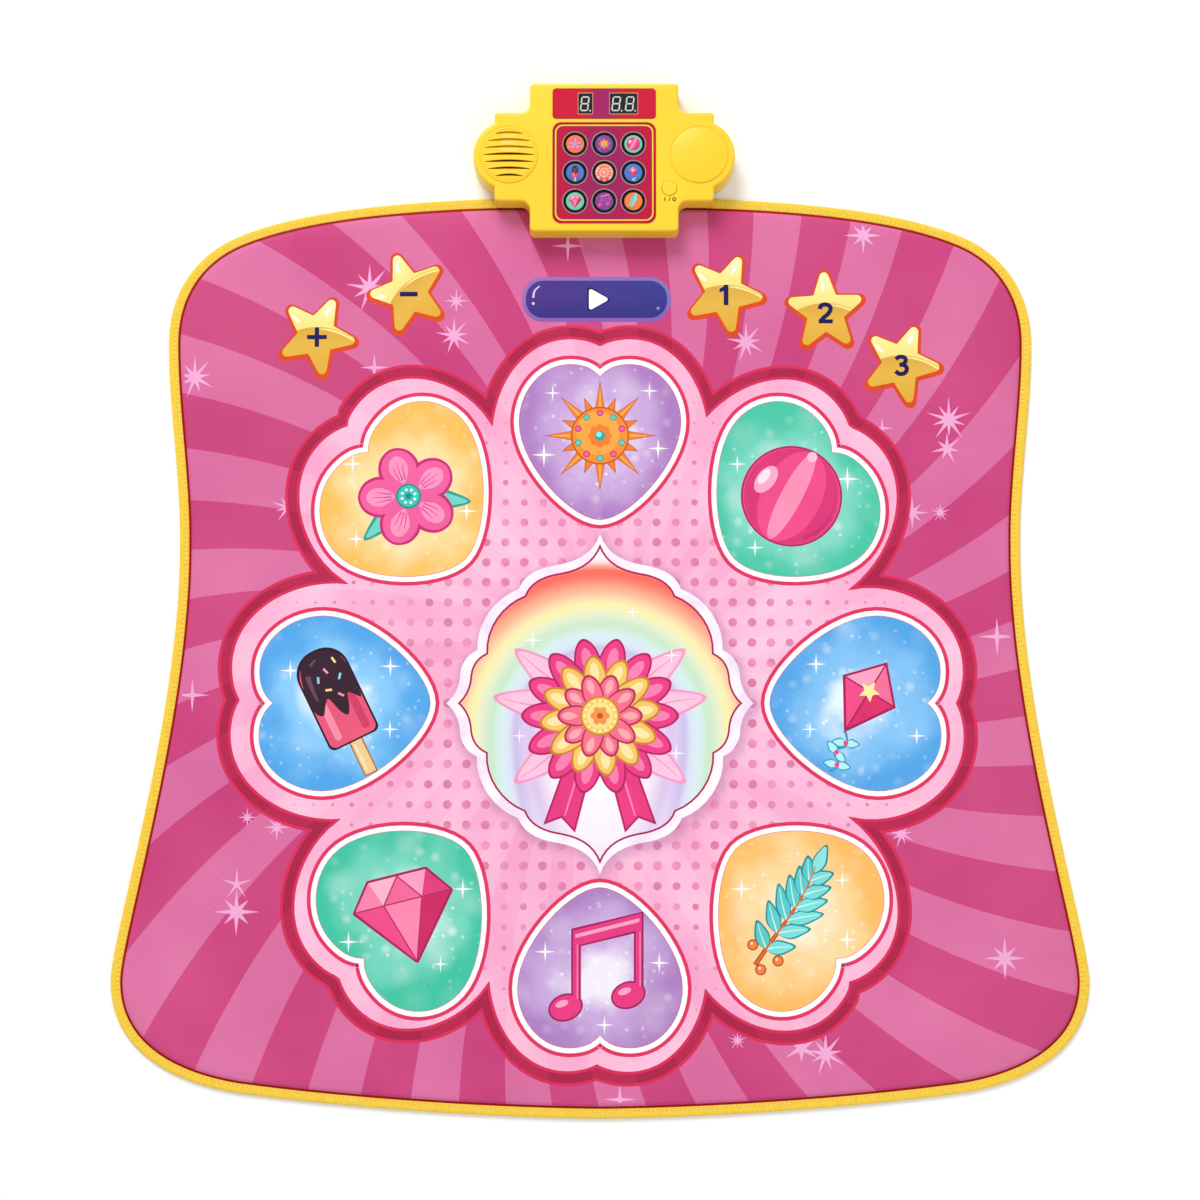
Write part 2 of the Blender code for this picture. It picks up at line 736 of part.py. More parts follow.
def cover_sheet(shapes):
    """The printed top sheet, which slopes down to a rim inside the binding."""
    edge = mat_outline()
    start, end, field = rim_insets()
    rings = [
        (inset(edge, start), COVER_RIM_TOP, COVER_RIM_BOTTOM),
        (inset(edge, end), COVER_RIM_TOP, COVER_RIM_BOTTOM),
        (inset(edge, field), COVER_TOP, COVER_BOTTOM),
    ]
    holes = [inset(loop, -SHEET_CLEARANCE) for _, loop in shapes]
    holes += clamp_holes(SCREW_SHANK_RADIUS + CLAMP_HOLE_ROOM) + [tail_slot(TAIL_SLOT_ROOM)]
    return sheet("cover_sheet", rings, holes, print_pink())


def step_pads(shapes):
    """One pressable plate for each print, flush in the cover."""
    for name, loop in shapes:
        pad = prism(name, loop, PAD_BOTTOM, COVER_TOP, print_pink())
        x, y = middle(loop)
        set_origin(pad, (x, y, COVER_TOP))


# The console.

def lens_places():
    """The nine indicator places, back row first, left to right."""
    for row in (1, 0, -1):
        for column in (-1, 0, 1):
            yield CONSOLE_X + column * LENS_PITCH, INDICATOR_Y + row * LENS_PITCH


def speaker_slot(index):
    """One arched slot of the speaker grille; the middle ones are longest."""
    place = (index - (SLOT_COUNT - 1) / 2) * SLOT_PITCH
    half = math.sqrt(SLOT_FIELD_RADIUS ** 2 - place ** 2)
    centre_x = CONSOLE_X - LOBE_OFFSET
    lower = []
    upper = []
    for step in (-1.0, -0.5, 0.0, 0.5, 1.0):
        bow = SLOT_ARCH * (1 - step * step)
        swell = SLOT_WIDTH / 2 * (1 - 0.7 * step * step)
        lower.append((centre_x + half * step, LOBE_Y + place + bow - swell))
        upper.append((centre_x + half * step, LOBE_Y + place + bow + swell))
    return lower + upper[::-1]


def post(name, radius, bottom, top, x, y, count=POST_SIDES):
    """A plain round post, or the cutter for a round hole."""
    return turned(name, [(radius, bottom), (radius, top)], x, y, None, count)


def case_bosses(bottom, top, radius):
    """A round post at each case screw."""
    return [post("post", radius, bottom, top, CONSOLE_X + x, y) for x, y in CASE_SCREWS]


def clamp_bosses(bottom, top, radius):
    """A round post at each clamp screw."""
    return [post("post", radius, bottom, top, CONSOLE_X + x, CLAMP_Y) for x in CLAMP_SCREW_X]


def console_top():
    """The upper shell: face, rounded shoulder, raised discs, grille and screw posts."""
    outline = console_outline()
    bottom = PARTING_Z + GAP
    shoulder = CONSOLE_TOP_Z - SHELL_ROUND
    rings = [(outline, bottom), (inset(outline, SHELL_DRAFT), shoulder)]
    for angle in (45, 90):
        turn = math.radians(angle)
        depth = SHELL_DRAFT + SHELL_ROUND * (1 - math.cos(turn))
        rings.append((inset(outline, depth), shoulder + SHELL_ROUND * math.sin(turn)))
    shell = loft("console_top", rings, shell_yellow())
    disc_top = CONSOLE_TOP_Z + DISC_HEIGHT
    disc = [
        (DISC_RADIUS, CEILING_Z + DISC_EDGE), (DISC_RADIUS, disc_top - DISC_EDGE),
        (DISC_RADIUS - DISC_EDGE, disc_top),
    ]
    join(shell, *[turned("disc", disc, CONSOLE_X + side * LOBE_OFFSET, LOBE_Y, None, DISC_SIDES)
                  for side in (-1, 1)])
    cavity = prism("cavity", inset(outline, WALL + SHELL_DRAFT), bottom - PAST, CEILING_Z)
    cut(shell, cavity)
    post_bottom = bottom + 0.0004
    speaker_x = CONSOLE_X - LOBE_OFFSET
    collar_bottom = CEILING_Z - COLLAR_HEIGHT
    collar = post("collar", SPEAKER_RADIUS + FIT + COLLAR_WALL, collar_bottom, CEILING_Z + PAST,
                  speaker_x, LOBE_Y, SPEAKER_SIDES)
    cut(collar, post("bore", SPEAKER_RADIUS + FIT, collar_bottom - PAST, CEILING_Z + 0.0002,
                     speaker_x, LOBE_Y, SPEAKER_SIDES))
    join(shell, collar, *case_bosses(post_bottom, CEILING_Z + PAST, BOSS_RADIUS),
         *clamp_bosses(post_bottom, CEILING_Z + PAST, BOSS_RADIUS))
    through_bottom = CEILING_Z - PAST
    through_top = CONSOLE_TOP_Z + DISC_HEIGHT + PAST
    holes = [prism("hole", speaker_slot(index), through_bottom, through_top)
             for index in range(SLOT_COUNT)]
    holes += [post("hole", BEZEL_RADIUS + FIT, through_bottom, through_top, x, y, ROUND_SIDES)
              for x, y in lens_places()]
    holes.append(post("hole", POWER_RADIUS + FIT, through_bottom, through_top,
                      CONSOLE_X + POWER_X, POWER_Y, ROUND_SIDES))
    holes += [box("hole", CONSOLE_X + x, DISPLAY_Y, through_bottom, through_top,
                  width + 2 * FIT, DIGIT_HEIGHT + 2 * FIT)
              for x, width in ((LEVEL_X, DIGIT_WIDTH), (SCORE_X, 2 * DIGIT_WIDTH))]
    pilot = SCREW_SHANK_RADIUS + FIT
    holes += case_bosses(bottom - PAST, SCREW_TIP_Z + PAST, pilot)
    holes += clamp_bosses(bottom - PAST, SCREW_TIP_Z + PAST, pilot)
    return cut(shell, *holes)


def over_mat(margin, top):
    """A block that takes away all of the console lower than a height, where the mat lies."""
    length = 0.1
    return box("step", CONSOLE_X, STEP_Y + margin - length / 2, -PAST, top, 2 * TAB_WIDTH, length)


def console_base():
    """The tray: deep behind the mat, shallow over it, with the battery bay and screw wells."""
    outline = console_outline()
    base = prism("console_base", outline, 0.0, PARTING_Z, shell_yellow())
    hollow = prism("hollow", inset(outline, WALL + SHELL_DRAFT), WALL, PARTING_Z + PAST)
    cut(hollow, over_mat(WALL, STEP_Z + WALL))
    cut(base, over_mat(0.0, STEP_Z), hollow)
    well = SCREW_HEAD_RADIUS + FIT + WELL_WALL
    posts = case_bosses(WALL / 2, PARTING_Z, well) + clamp_bosses(STEP_Z + WALL / 2, PARTING_Z, BOSS_RADIUS)
    posts.append(post("post", BOSS_RADIUS, WALL / 2, door_post_top(), CONSOLE_X, door_screw_y()))
    for x, y in STANDOFFS:
        floor = WALL / 2 if y > STEP_Y else STEP_Z + WALL / 2
        posts.append(turned("post", [
            (STANDOFF_RADIUS, floor), (STANDOFF_RADIUS, BOARD_BOTTOM - GAP),
            (PIN_RADIUS, BOARD_BOTTOM - GAP), (PIN_RADIUS, BOARD_TOP + PIN_RADIUS),
        ], CONSOLE_X + x, y, None, POST_SIDES))
    join(base, box("bay", CONSOLE_X, BAY_Y, WALL / 2, BAY_ROOF_Z + BAY_WALL,
                   2 * (BAY_HALF_LENGTH + BAY_WALL), 2 * (BAY_HALF_WIDTH + BAY_WALL)), *posts)
    shank = SCREW_SHANK_RADIUS + FIT
    holes = [
        box("room", CONSOLE_X, BAY_Y, -PAST, BAY_ROOF_Z, 2 * BAY_HALF_LENGTH, 2 * BAY_HALF_WIDTH),
        prism("ledge", door_loop(FIT), -PAST, LEDGE_Z),
        prism("slot", tail_slot(TAIL_SLOT_ROOM), STEP_Z - PAST, STEP_Z + WALL + PAST),
        post("pilot", shank, -PAST, door_post_top() - PAST, CONSOLE_X, door_screw_y()),
    ]
    holes += case_bosses(-PAST, PARTING_Z + PAST, shank)
    holes += case_bosses(-PAST, CASE_HEAD_Z + SCREW_HEAD_HEIGHT + GAP, SCREW_HEAD_RADIUS + FIT)
    holes += clamp_bosses(STEP_Z - PAST, PARTING_Z + PAST, shank)
    return cut(base, *holes)


def door_screw_y():
    return BAY_Y - BAY_HALF_WIDTH - BAY_WALL - BOSS_RADIUS


def door_post_top():
    return PARTING_Z - 0.002


def door_loop(margin):
    """The battery door: a plate with a screw tab on its front edge."""
    half_width = BAY_HALF_LENGTH + DOOR_LAP + margin
    half_length = BAY_HALF_WIDTH + DOOR_LAP + margin
    tab = BOSS_RADIUS + margin
    corners = [
        (-half_width, BAY_Y - half_length, 0.0), (-tab, BAY_Y - half_length, 0.0),
        (-tab, door_screw_y() - tab, 0.001), (tab, door_screw_y() - tab, 0.001),
        (tab, BAY_Y - half_length, 0.0), (half_width, BAY_Y - half_length, 0.0),
        (half_width, BAY_Y + half_length, 0.0), (-half_width, BAY_Y + half_length, 0.0),
    ]
    return [(CONSOLE_X + x, y) for x, y in rounded(corners, 2)]


def battery_door():
    """The door under the cells, with a countersunk hole in its tab."""
    door = prism("battery_door", door_loop(0.0), GAP, DOOR_TOP, shell_yellow())
    cut(door, countersink("sink", FIT, CONSOLE_X, door_screw_y(), GAP, DOOR_TOP))
    set_origin(door, (CONSOLE_X, BAY_Y, GAP))


def countersink(name, margin, x, y, bottom, top, tip=None, surface=None):
    """A countersunk head that fills a plate's thickness, with a shank up to the tip."""
    wide = SCREW_HEAD_RADIUS + margin
    narrow = SCREW_SHANK_RADIUS + margin
    low = bottom + 0.0001 if margin == 0 else bottom - 0.0005
    end = top + 0.0005 if tip is None else tip
    return turned(name, [(wide, low), (wide, bottom + 0.0002), (narrow, top - 0.0001), (narrow, end)],
                  x, y, surface, POST_SIDES)


def clamp_plate():
    """The steel strip under the mat that the console is screwed to."""
    bottom = BACKING_TOP - CLAMP_THICKNESS
    loop = rectangle(CONSOLE_X, CLAMP_Y, CLAMP_LENGTH, CLAMP_WIDTH, 0.001, 2)
    plate = prism("clamp_plate", loop, bottom, BACKING_TOP, steel())
    cut(plate, *[countersink("sink", FIT, CONSOLE_X + x, CLAMP_Y, bottom, BACKING_TOP)
                 for x in CLAMP_SCREW_X])


def screws():
    """All the fasteners: through the mat, through the case and in the door."""
    bottom = BACKING_TOP - CLAMP_THICKNESS
    for number, x in enumerate(CLAMP_SCREW_X, 1):
        countersink(f"clamp_screw_{number}", 0, CONSOLE_X + x, CLAMP_Y, bottom, BACKING_TOP,
                    SCREW_TIP_Z, steel())
    seat = CASE_HEAD_Z + SCREW_HEAD_HEIGHT
    for number, (x, y) in enumerate(CASE_SCREWS, 1):
        turned(f"case_screw_{number}", [
            (SCREW_HEAD_RADIUS, CASE_HEAD_Z), (SCREW_HEAD_RADIUS, seat),
            (SCREW_SHANK_RADIUS, seat), (SCREW_SHANK_RADIUS, SCREW_TIP_Z),
        ], CONSOLE_X + x, y, steel(), POST_SIDES)
    countersink("door_screw", 0, CONSOLE_X, door_screw_y(), GAP, DOOR_TOP,
                door_post_top() - 0.0025, steel())


# The console's face.

def labels():
    """Two printed labels with openings for the displays and the indicator rings."""
    bottom = CONSOLE_TOP_Z + GAP
    top = bottom + LABEL_THICKNESS
    surface = material("label_crimson", (0.70, 0.02, 0.09), 0.3)
    windows = [rectangle(CONSOLE_X + x, DISPLAY_Y, width + 4 * FIT, DIGIT_HEIGHT + 4 * FIT)
               for x, width in ((LEVEL_X, DIGIT_WIDTH), (SCORE_X, 2 * DIGIT_WIDTH))]
    prism("display_label", rectangle(CONSOLE_X, DISPLAY_Y, DISPLAY_LABEL_WIDTH, DISPLAY_LABEL_LENGTH,
                                     DISPLAY_LABEL_CORNER), bottom, top, surface, windows)
    rings = [circle(x, y, BEZEL_RADIUS + 2 * FIT, ROUND_SIDES) for x, y in lens_places()]
    prism("indicator_label", rectangle(CONSOLE_X, INDICATOR_Y, INDICATOR_LABEL_WIDTH,
                                       INDICATOR_LABEL_LENGTH, INDICATOR_LABEL_CORNER),
          bottom, top, surface, rings)


def displays():
    """The one-digit level display and the two-digit score display."""
    surface = material("display_black", (0.01, 0.01, 0.012), 0.15)
    modules = (("level_display", LEVEL_X, DIGIT_WIDTH), ("score_display", SCORE_X, 2 * DIGIT_WIDTH))
    for name, x, width in modules:
        box(name, CONSOLE_X + x, DISPLAY_Y, BOARD_TOP + GAP, DIGIT_TOP_Z, width, DIGIT_HEIGHT, surface)


def indicator_frame():
    """A plate under the face with nine black rings that stand up through it."""
    side = 2 * (LENS_PITCH + BEZEL_RADIUS + FRAME_PLATE_MARGIN)
    frame = box("indicator_frame", CONSOLE_X, INDICATOR_Y, FRAME_BOTTOM, FRAME_TOP, side, side,
                black_plastic())
    rings = []
    bores = []
    for x, y in lens_places():
        rings.append(turned("ring", [
            (BEZEL_RADIUS, FRAME_BOTTOM + 0.0004), (BEZEL_RADIUS, LENS_TOP - 0.0003),
            (BEZEL_RADIUS - 0.0003, LENS_TOP),
        ], x, y))
        bores.append(turned("bore", [(LENS_RADIUS + FIT, FRAME_BOTTOM - PAST),
                                     (LENS_RADIUS + FIT, LENS_TOP + PAST)], x, y))
    join(frame, *rings)
    cut(frame, *bores)


def indicator_lenses():
    """Nine domed lenses, each with a flange under the ring plate."""
    surface = material("lens_white", (0.80, 0.62, 0.50), 0.2)
    flange_top = FRAME_BOTTOM - GAP
    rim = LENS_TOP - LENS_DOME
    flange = LENS_RADIUS + LENS_FLANGE
    for number, (x, y) in enumerate(lens_places(), 1):
        turned(f"indicator_lens_{number}", [
            (flange, flange_top - LENS_FLANGE_HEIGHT), (flange, flange_top),
            (LENS_RADIUS, flange_top), (LENS_RADIUS, rim - 0.0002),
            (LENS_RADIUS * 0.75, rim + LENS_DOME * 0.4),
        ], x, y, surface)


# Electronics.

def main_board():
    """The circuit board with what is soldered on it: lamps, chip, power switch and tail socket."""
    ear_low = POWER_Y - BOARD_EAR_HALF_LENGTH
    ear_high = POWER_Y + BOARD_EAR_HALF_LENGTH
    corners = [
        (-BOARD_HALF_WIDTH, BOARD_FRONT_Y), (BOARD_HALF_WIDTH, BOARD_FRONT_Y),
        (BOARD_HALF_WIDTH, ear_low), (BOARD_EAR_X, ear_low), (BOARD_EAR_X, ear_high),
        (BOARD_HALF_WIDTH, ear_high), (BOARD_HALF_WIDTH, BOARD_BACK_Y), (-BOARD_HALF_WIDTH, BOARD_BACK_Y),
    ]
    holes = [circle(CONSOLE_X + x, y, PIN_RADIUS + FIT, POST_SIDES) for x, y in STANDOFFS]
    board = prism("main_board", [(CONSOLE_X + x, y) for x, y in corners], BOARD_BOTTOM, BOARD_TOP,
                  material("board_green", (0.02, 0.22, 0.08), 0.4), holes)
    seat = BOARD_TOP - BOARD_THICKNESS / 2
    lamp_top = FRAME_BOTTOM - GAP - LENS_FLANGE_HEIGHT - GAP
    parts = [turned("lamp", [(LAMP_RADIUS, seat), (LAMP_RADIUS, lamp_top)],
                    x, y, None, LAMP_SIDES) for x, y in lens_places()]
    parts.append(box("chip", CONSOLE_X - CHIP_SIZE, BAY_Y + 0.012, seat, BOARD_TOP + CHIP_HEIGHT,
                     CHIP_SIZE, CHIP_SIZE * 0.7))
    pressed = FRAME_TOP - POWER_FLANGE_HEIGHT - POWER_TRAVEL
    parts.append(box("switch", CONSOLE_X + POWER_X, POWER_Y, seat, pressed - GAP,
                     SWITCH_SIZE, SWITCH_SIZE))
    socket_bottom = TAIL_TOP_Z - SOCKET_DEPTH
    socket = box("socket", CONSOLE_X, TAIL_Y, socket_bottom, seat,
                 TAIL_WIDTH + SOCKET_LENGTH, SOCKET_LENGTH)
    cut(socket, box("slot", CONSOLE_X, TAIL_Y, socket_bottom - PAST, TAIL_TOP_Z + GAP,
                    TAIL_WIDTH + 2 * FIT, FILM_THICKNESS + 2 * FIT))
    join(board, socket, *parts)


def power_button():
    """A round cap in the face, held by its flange."""
    flange_bottom = FRAME_TOP - POWER_FLANGE_HEIGHT
    top = CONSOLE_TOP_Z + POWER_HEIGHT
    x = CONSOLE_X + POWER_X
    button = turned("power_button", [
        (POWER_RADIUS + POWER_FLANGE, flange_bottom), (POWER_RADIUS + POWER_FLANGE, FRAME_TOP),
        (POWER_RADIUS, FRAME_TOP), (POWER_RADIUS, top - 0.0004), (POWER_RADIUS - 0.0005, top),
    ], x, POWER_Y, shell_yellow())
    set_origin(button, (x, POWER_Y, top))


def speaker():
    """The speaker under the left grille: a steel basket with its magnet, and a moving cone."""
    x = CONSOLE_X - LOBE_OFFSET
    seat = CEILING_Z - GAP
    low = seat - SPEAKER_HEIGHT
    magnet_top = low + 0.0035
    rim = seat - SPEAKER_FLANGE
    mouth = CONE_RADIUS + CONE_EDGE_GAP
    turned("speaker_frame", [
        (MAGNET_RADIUS, low), (MAGNET_RADIUS, magnet_top), (MAGNET_RADIUS + 0.001, magnet_top),
        (SPEAKER_RADIUS - 0.0025, rim), (SPEAKER_RADIUS, rim), (SPEAKER_RADIUS, seat),
        (mouth, seat), (mouth, rim - 2 * CONE_THICKNESS), (MAGNET_RADIUS - 0.002, magnet_top + 0.0016),
    ], x, LOBE_Y, steel(), SPEAKER_SIDES)
    hinge = rim - CONE_THICKNESS / 2
    cap = CONE_RADIUS * 0.3
    cone = turned("speaker_cone", [
        (cap, hinge - CONE_DEPTH), (CONE_RADIUS - 0.001, hinge), (CONE_RADIUS, hinge),
        (CONE_RADIUS, hinge + CONE_THICKNESS), (CONE_RADIUS - 0.001, hinge + CONE_THICKNESS),
        (cap, hinge - CONE_DEPTH + CONE_THICKNESS),
    ], x, LOBE_Y, material("cone_black", (0.02, 0.02, 0.022), 0.85), SPEAKER_SIDES)
    set_origin(cone, (x, LOBE_Y, hinge))


# Power supply.

def cell_places():
    """Each cell's middle and the way its positive end points; neighbours alternate."""
    shift = BAY_HALF_LENGTH - CONTACT_THICKNESS - 2 * GAP - CELL_NUB_LENGTH - CELL_HALF
    for index in range(CELL_COUNT):
        way = 1 if index % 2 == 0 else -1
        yield CONSOLE_X + way * shift, BAY_Y + (index - (CELL_COUNT - 1) / 2) * CELL_PITCH, way


def cells():
    """The cells, each turned from its own axis and laid along X."""
    surface = material("cell_sleeve", (0.25, 0.26, 0.30), 0.3, 0.6)
    for number, (x, y, way) in enumerate(cell_places(), 1):
        cell = turned(f"battery_{number}", [
            (CELL_RADIUS - 0.0006, -CELL_HALF), (CELL_RADIUS, -CELL_HALF + 0.0006),
            (CELL_RADIUS, CELL_HALF - 0.0008), (CELL_RADIUS - 0.0010, CELL_HALF),
            (CELL_NUB_RADIUS, CELL_HALF), (CELL_NUB_RADIUS, CELL_HALF + CELL_NUB_LENGTH),
        ], 0.0, 0.0, surface)
        cell.rotation_euler = (0.0, math.radians(90 * way), 0.0)
        cell.location = (x, y, CELL_Z)


def tube(name, points, radius, sides, surface=None, width=1.0):
    """A tube along points, with flat ends; width stretches its section sideways."""
    path = [Vector(point) for point in points]
    vertices = []
    side = None
    for index, here in enumerate(path):
        before = path[max(index - 1, 0)]
        after = path[min(index + 1, len(path) - 1)]
        ahead = (after - before).normalized()
        if side is None:
            side = ahead.cross(Vector((0.3, 0.0, 1.0))).normalized()
        side = (side - ahead * side.dot(ahead)).normalized()
        up = ahead.cross(side)
        for corner in range(sides):
            turn = math.tau * corner / sides
            reach = side * (math.cos(turn) * width) + up * math.sin(turn)
            vertices.append(here + reach * radius)
    faces = [tuple(reversed(range(sides))), tuple(range((len(path) - 1) * sides, len(path) * sides))]
    for ring in range(len(path) - 1):
        for corner in range(sides):
            after = (corner + 1) % sides
            faces.append((ring * sides + corner, ring * sides + after,
                          (ring + 1) * sides + after, (ring + 1) * sides + corner))
    return new_object(name, mesh_from(name, vertices, faces), surface)


def contact_plate(name, side, first, last):
    """A plate against the bay's end wall, from one cell's middle to another's."""
    x = CONSOLE_X + side * (BAY_HALF_LENGTH - GAP - CONTACT_THICKNESS / 2)
    half = CONTACT_SIZE / 2
    return box(name, x, (first + last) / 2, CELL_Z - half, CELL_Z + half,
               CONTACT_THICKNESS, abs(last - first) + CONTACT_SIZE, steel())


def contact_spring(x, y, way):
    """A conical spring from the contact plate to a cell's flat end."""
    near = x - way * (CELL_HALF + GAP + SPRING_WIRE)
    far = CONSOLE_X - way * (BAY_HALF_LENGTH - GAP - CONTACT_THICKNESS)
    steps = SPRING_TURNS * 8
    coil = []
    for step in range(steps + 1):
        share = step / steps
        radius = CONTACT_SIZE * (0.42 - 0.22 * share)
        turn = math.tau * SPRING_TURNS * share
        coil.append((far + (near - far) * share, y + radius * math.cos(turn),
                     CELL_Z + radius * math.sin(turn)))
    return tube("spring", coil, SPRING_WIRE, 4)


def battery_contacts():
    """The series chain: an end plate, two bridges and an end spring."""
    first, second, third = cell_places()
    contact_plate("contact_positive", first[2], first[1], first[1])
    join(contact_plate("contact_bridge_1", -first[2], first[1], second[1]), contact_spring(*first))
    join(contact_plate("contact_bridge_2", -second[2], second[1], third[1]), contact_spring(*second))
    join(contact_plate("contact_negative", -third[2], third[1], third[1]), contact_spring(*third))


def leads():
    """A flat two-core lead from the speaker and one from the battery bay, up to the board."""
    surface = material("lead_grey", (0.12, 0.12, 0.13), 0.5)
    below = BOARD_BOTTOM - GAP
    magnet = CONSOLE_X - LOBE_OFFSET + MAGNET_RADIUS
    edge = CONSOLE_X - BOARD_HALF_WIDTH
    bay = CONSOLE_X + BAY_HALF_LENGTH + BAY_WALL
    y = LOBE_Y
    tube("speaker_lead", [
        (magnet + 0.0005, y, below - 0.0018), (magnet + 0.004, y, below - 0.003),
        (magnet + 0.010, y, below - 0.0055), (edge - 0.002, y, below - 0.005),
        (edge + 0.003, y, below - 0.0025), (edge + 0.004, y, below),
    ], LEAD_RADIUS, LEAD_SIDES, surface, LEAD_FLATNESS)
    y = BAY_Y
    tube("battery_lead", [
        (bay + GAP, y, CELL_Z), (bay + 0.003, y, CELL_Z + 0.0005), (bay + 0.006, y, CELL_Z + 0.003),
        (bay + 0.007, y, CELL_Z + 0.006), (bay + 0.007, y, below),
    ], LEAD_RADIUS, LEAD_SIDES, surface, LEAD_FLATNESS)


def main():
    """Build the mat from the floor up, then the console."""
    clear_scene()
    shapes = pads()
    edge_binding()
    backing_sheet()
    circuit_film()
    spacer_foam(shapes)
    cover_sheet(shapes)
    step_pads(shapes)
    console_top()
    console_base()
    clamp_plate()
    battery_door()
    screws()
    labels()
    displays()
    indicator_frame()
    indicator_lenses()
    main_board()
    power_button()
    speaker()
    cells()
    battery_contacts()
    leads()


main()
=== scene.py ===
"""Looks of the electronic dance mat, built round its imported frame.

The printed cover, its tape, the console and the underside are made here as finished
pieces, in metres and in the frame's own place, and each rides on the body that carries it.
"""
import math

import bmesh
import bpy
import numpy as np
from mathutils import Matrix, Vector
from mathutils.geometry import delaunay_2d_cdt


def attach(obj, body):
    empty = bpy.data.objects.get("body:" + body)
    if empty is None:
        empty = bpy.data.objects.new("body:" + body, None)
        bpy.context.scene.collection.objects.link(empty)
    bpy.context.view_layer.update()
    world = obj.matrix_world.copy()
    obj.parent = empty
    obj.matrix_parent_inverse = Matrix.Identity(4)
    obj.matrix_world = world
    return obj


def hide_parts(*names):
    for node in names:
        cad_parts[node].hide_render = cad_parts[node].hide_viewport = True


BODY = "mat_and_console"

# Sizes of the mat.
FRONT_Y = -0.47645
FRONT_HALF_WIDTH = 0.4463
FRONT_CORNER_Y = -0.352
WAIST_HALF_WIDTH = 0.389
WAIST_Y = 0.048
BACK_HALF_WIDTH = 0.402
BACK_CORNER_Y = 0.238
MAT_BACK_Y = 0.375
COVER_TOP = 0.0057
COVER_RIM_TOP = 0.0026
COVER_THICKNESS = 0.0005
PAD_BOTTOM = 0.0038
BINDING_TOP = 0.0036
STITCH_INSET = 0.0064
STITCH_PITCH = 0.0042
BACKING_TOP = 0.0016
BACKING_INSET = 0.0016
BACKING_FIELD = 0.0098
DOT_FIELD = 0.0145
FOAM = (0.0026, 0.0046)
FOAM_INSET = 0.0172
WINDOW_GROWTH = 0.0008
INK = 0.00002

# The cover's rise from its rim: insets from the mat's edge, the red line's, and where it is full.
COVER_STEPS = (0.0076, 0.0090, 0.0110, 0.0118, 0.0126, 0.0135, 0.0144)
RED_LINE_STEPS = 3
RISE_START = 0.0090

# The cover's faint waves: their height, where they start and are full beside an outline, the
# block round the console that they leave out, the extent and pitch of their points, and how
# far these stay from an outline.
RIPPLE = 0.00022
CALM = (0.002, 0.035)
STILL = (0.40, 0.30, 0.14)
SPREAD = (-0.44, 0.44, -0.47, 0.37, 0.011)
SPREAD_CLEAR = 0.005

# The middle pad's cast shadow: its shift and blur, and the points that carry it, in the same terms.
SHADOW_SHIFT = (0.0022, -0.0032)
SHADOW_BLUR = 0.009
SHADOW_SPREAD = (-0.20, 0.20, -0.31, 0.11, 0.006)
SHADOW_CLEAR = 0.003
SHADOW_REACH = 0.03

# Sizes of the print.
CIRCLE = (0.0, -0.0994)
WHITE_RING = 0.0050
HEART_BORDER = 0.0085
HEART_SEAM = 0.0004
HEART_MIDDLE = 0.54
BAND_INNER = 0.0235
BAND_OUTER = 0.0369
BAND_EDGE = 0.0027
MEDALLION_HALF = (0.1413, 0.1565)
MEDALLION_LINE = (0.927, 0.9425)
RAINBOW_Y = -0.1270
ROSETTE_Y = -0.1110
STAR_RIM = (0.0508, 0.0210, 0.0062, 0.0022)
STAR_FACE = (0.0430, 0.0178, 0.0042, 0.0016)
STAR_STRETCH = 1.065
STAR_SHIFT = (-0.0003, 0.0015)
STAR_SEAM = 0.0003
SHINE = (0.0265, 0.0016)
SIGN_SIZE = 0.00088
START = (-0.0033, 0.2774)
START_SIZE = (0.1390, 0.0425)
START_CORNER = 0.0200

# The rays: the spot they curl out of, their number, how far they turn on each metre and at the start.
RAY_SPOT = (0.0077, -0.0569)
RAY_SQUASH = 0.9343
RAY_COUNT = 28
RAY_CURL = 43.616
RAY_TURN = -0.523

# The dots: pitch across and along, radius near the middle and far out.
DOT_PITCH = (0.0175, 0.0186)
DOT_RADII = (0.0041, 0.0005)

# Sizes of the console.
CONSOLE_X = 0.0039
CONSOLE_BACK_Y = 0.47645
CONSOLE_FRONT_Y = 0.3355
BLOCK_WIDTH = 0.139
TAB_WIDTH = 0.205
TAB_FRONT_Y = 0.364
TAB_BACK_Y = 0.449
LOBE_OFFSET = 0.08825
LOBE_Y = 0.4082
LOBE_RADIUS = 0.0337
DISC_RADIUS = 0.0275
DISC_TOP = 0.0313
CONSOLE_TOP = 0.0305
CEILING = 0.0283
PARTING_Z = 0.0130
WALL = 0.0022
DRAFT = 0.0006
SHELL_ROUND = 0.0024
LABEL_TOP = 0.0310
DISPLAY_Y = 0.45665
DISPLAY_LABEL = (0.096, 0.0287, 0.0034)
INDICATOR_Y = 0.3912
INDICATOR_LABEL = (0.096, 0.0955, 0.0083)
LENS_PITCH = 0.027
LENS_HOLE = 0.0096
BEZEL_RADIUS = 0.0109
LENS_RADIUS = 0.0083
LENS_BOTTOM = 0.0290
LENS_EDGE_TOP = 0.0311
LENS_RISE = 0.0004
DIGIT_WIDTH = 0.0126
DIGIT_HEIGHT = 0.0190
DIGIT_TOP = 0.0302
DIGIT_DEPTH = 0.0078
DIGIT_SLANT = 0.12
DIGIT_WINDOW_GAP = 0.0002
LEVEL_X = -0.01745
SCORE_X = 0.01805
SLOT_COUNT = 7
SLOT_PITCH = 0.00665
SLOT_WIDTH = 0.0027
SLOT_FIELD_RADIUS = 0.0235
SLOT_ARCH = 0.0008
SLOT_THROATS = (0.0014, 0.0015, 0.0015, 0.0015, 0.0004, 0.0003, 0.0002)
POWER = (0.0643, 0.37675)
POWER_RADIUS = 0.0069
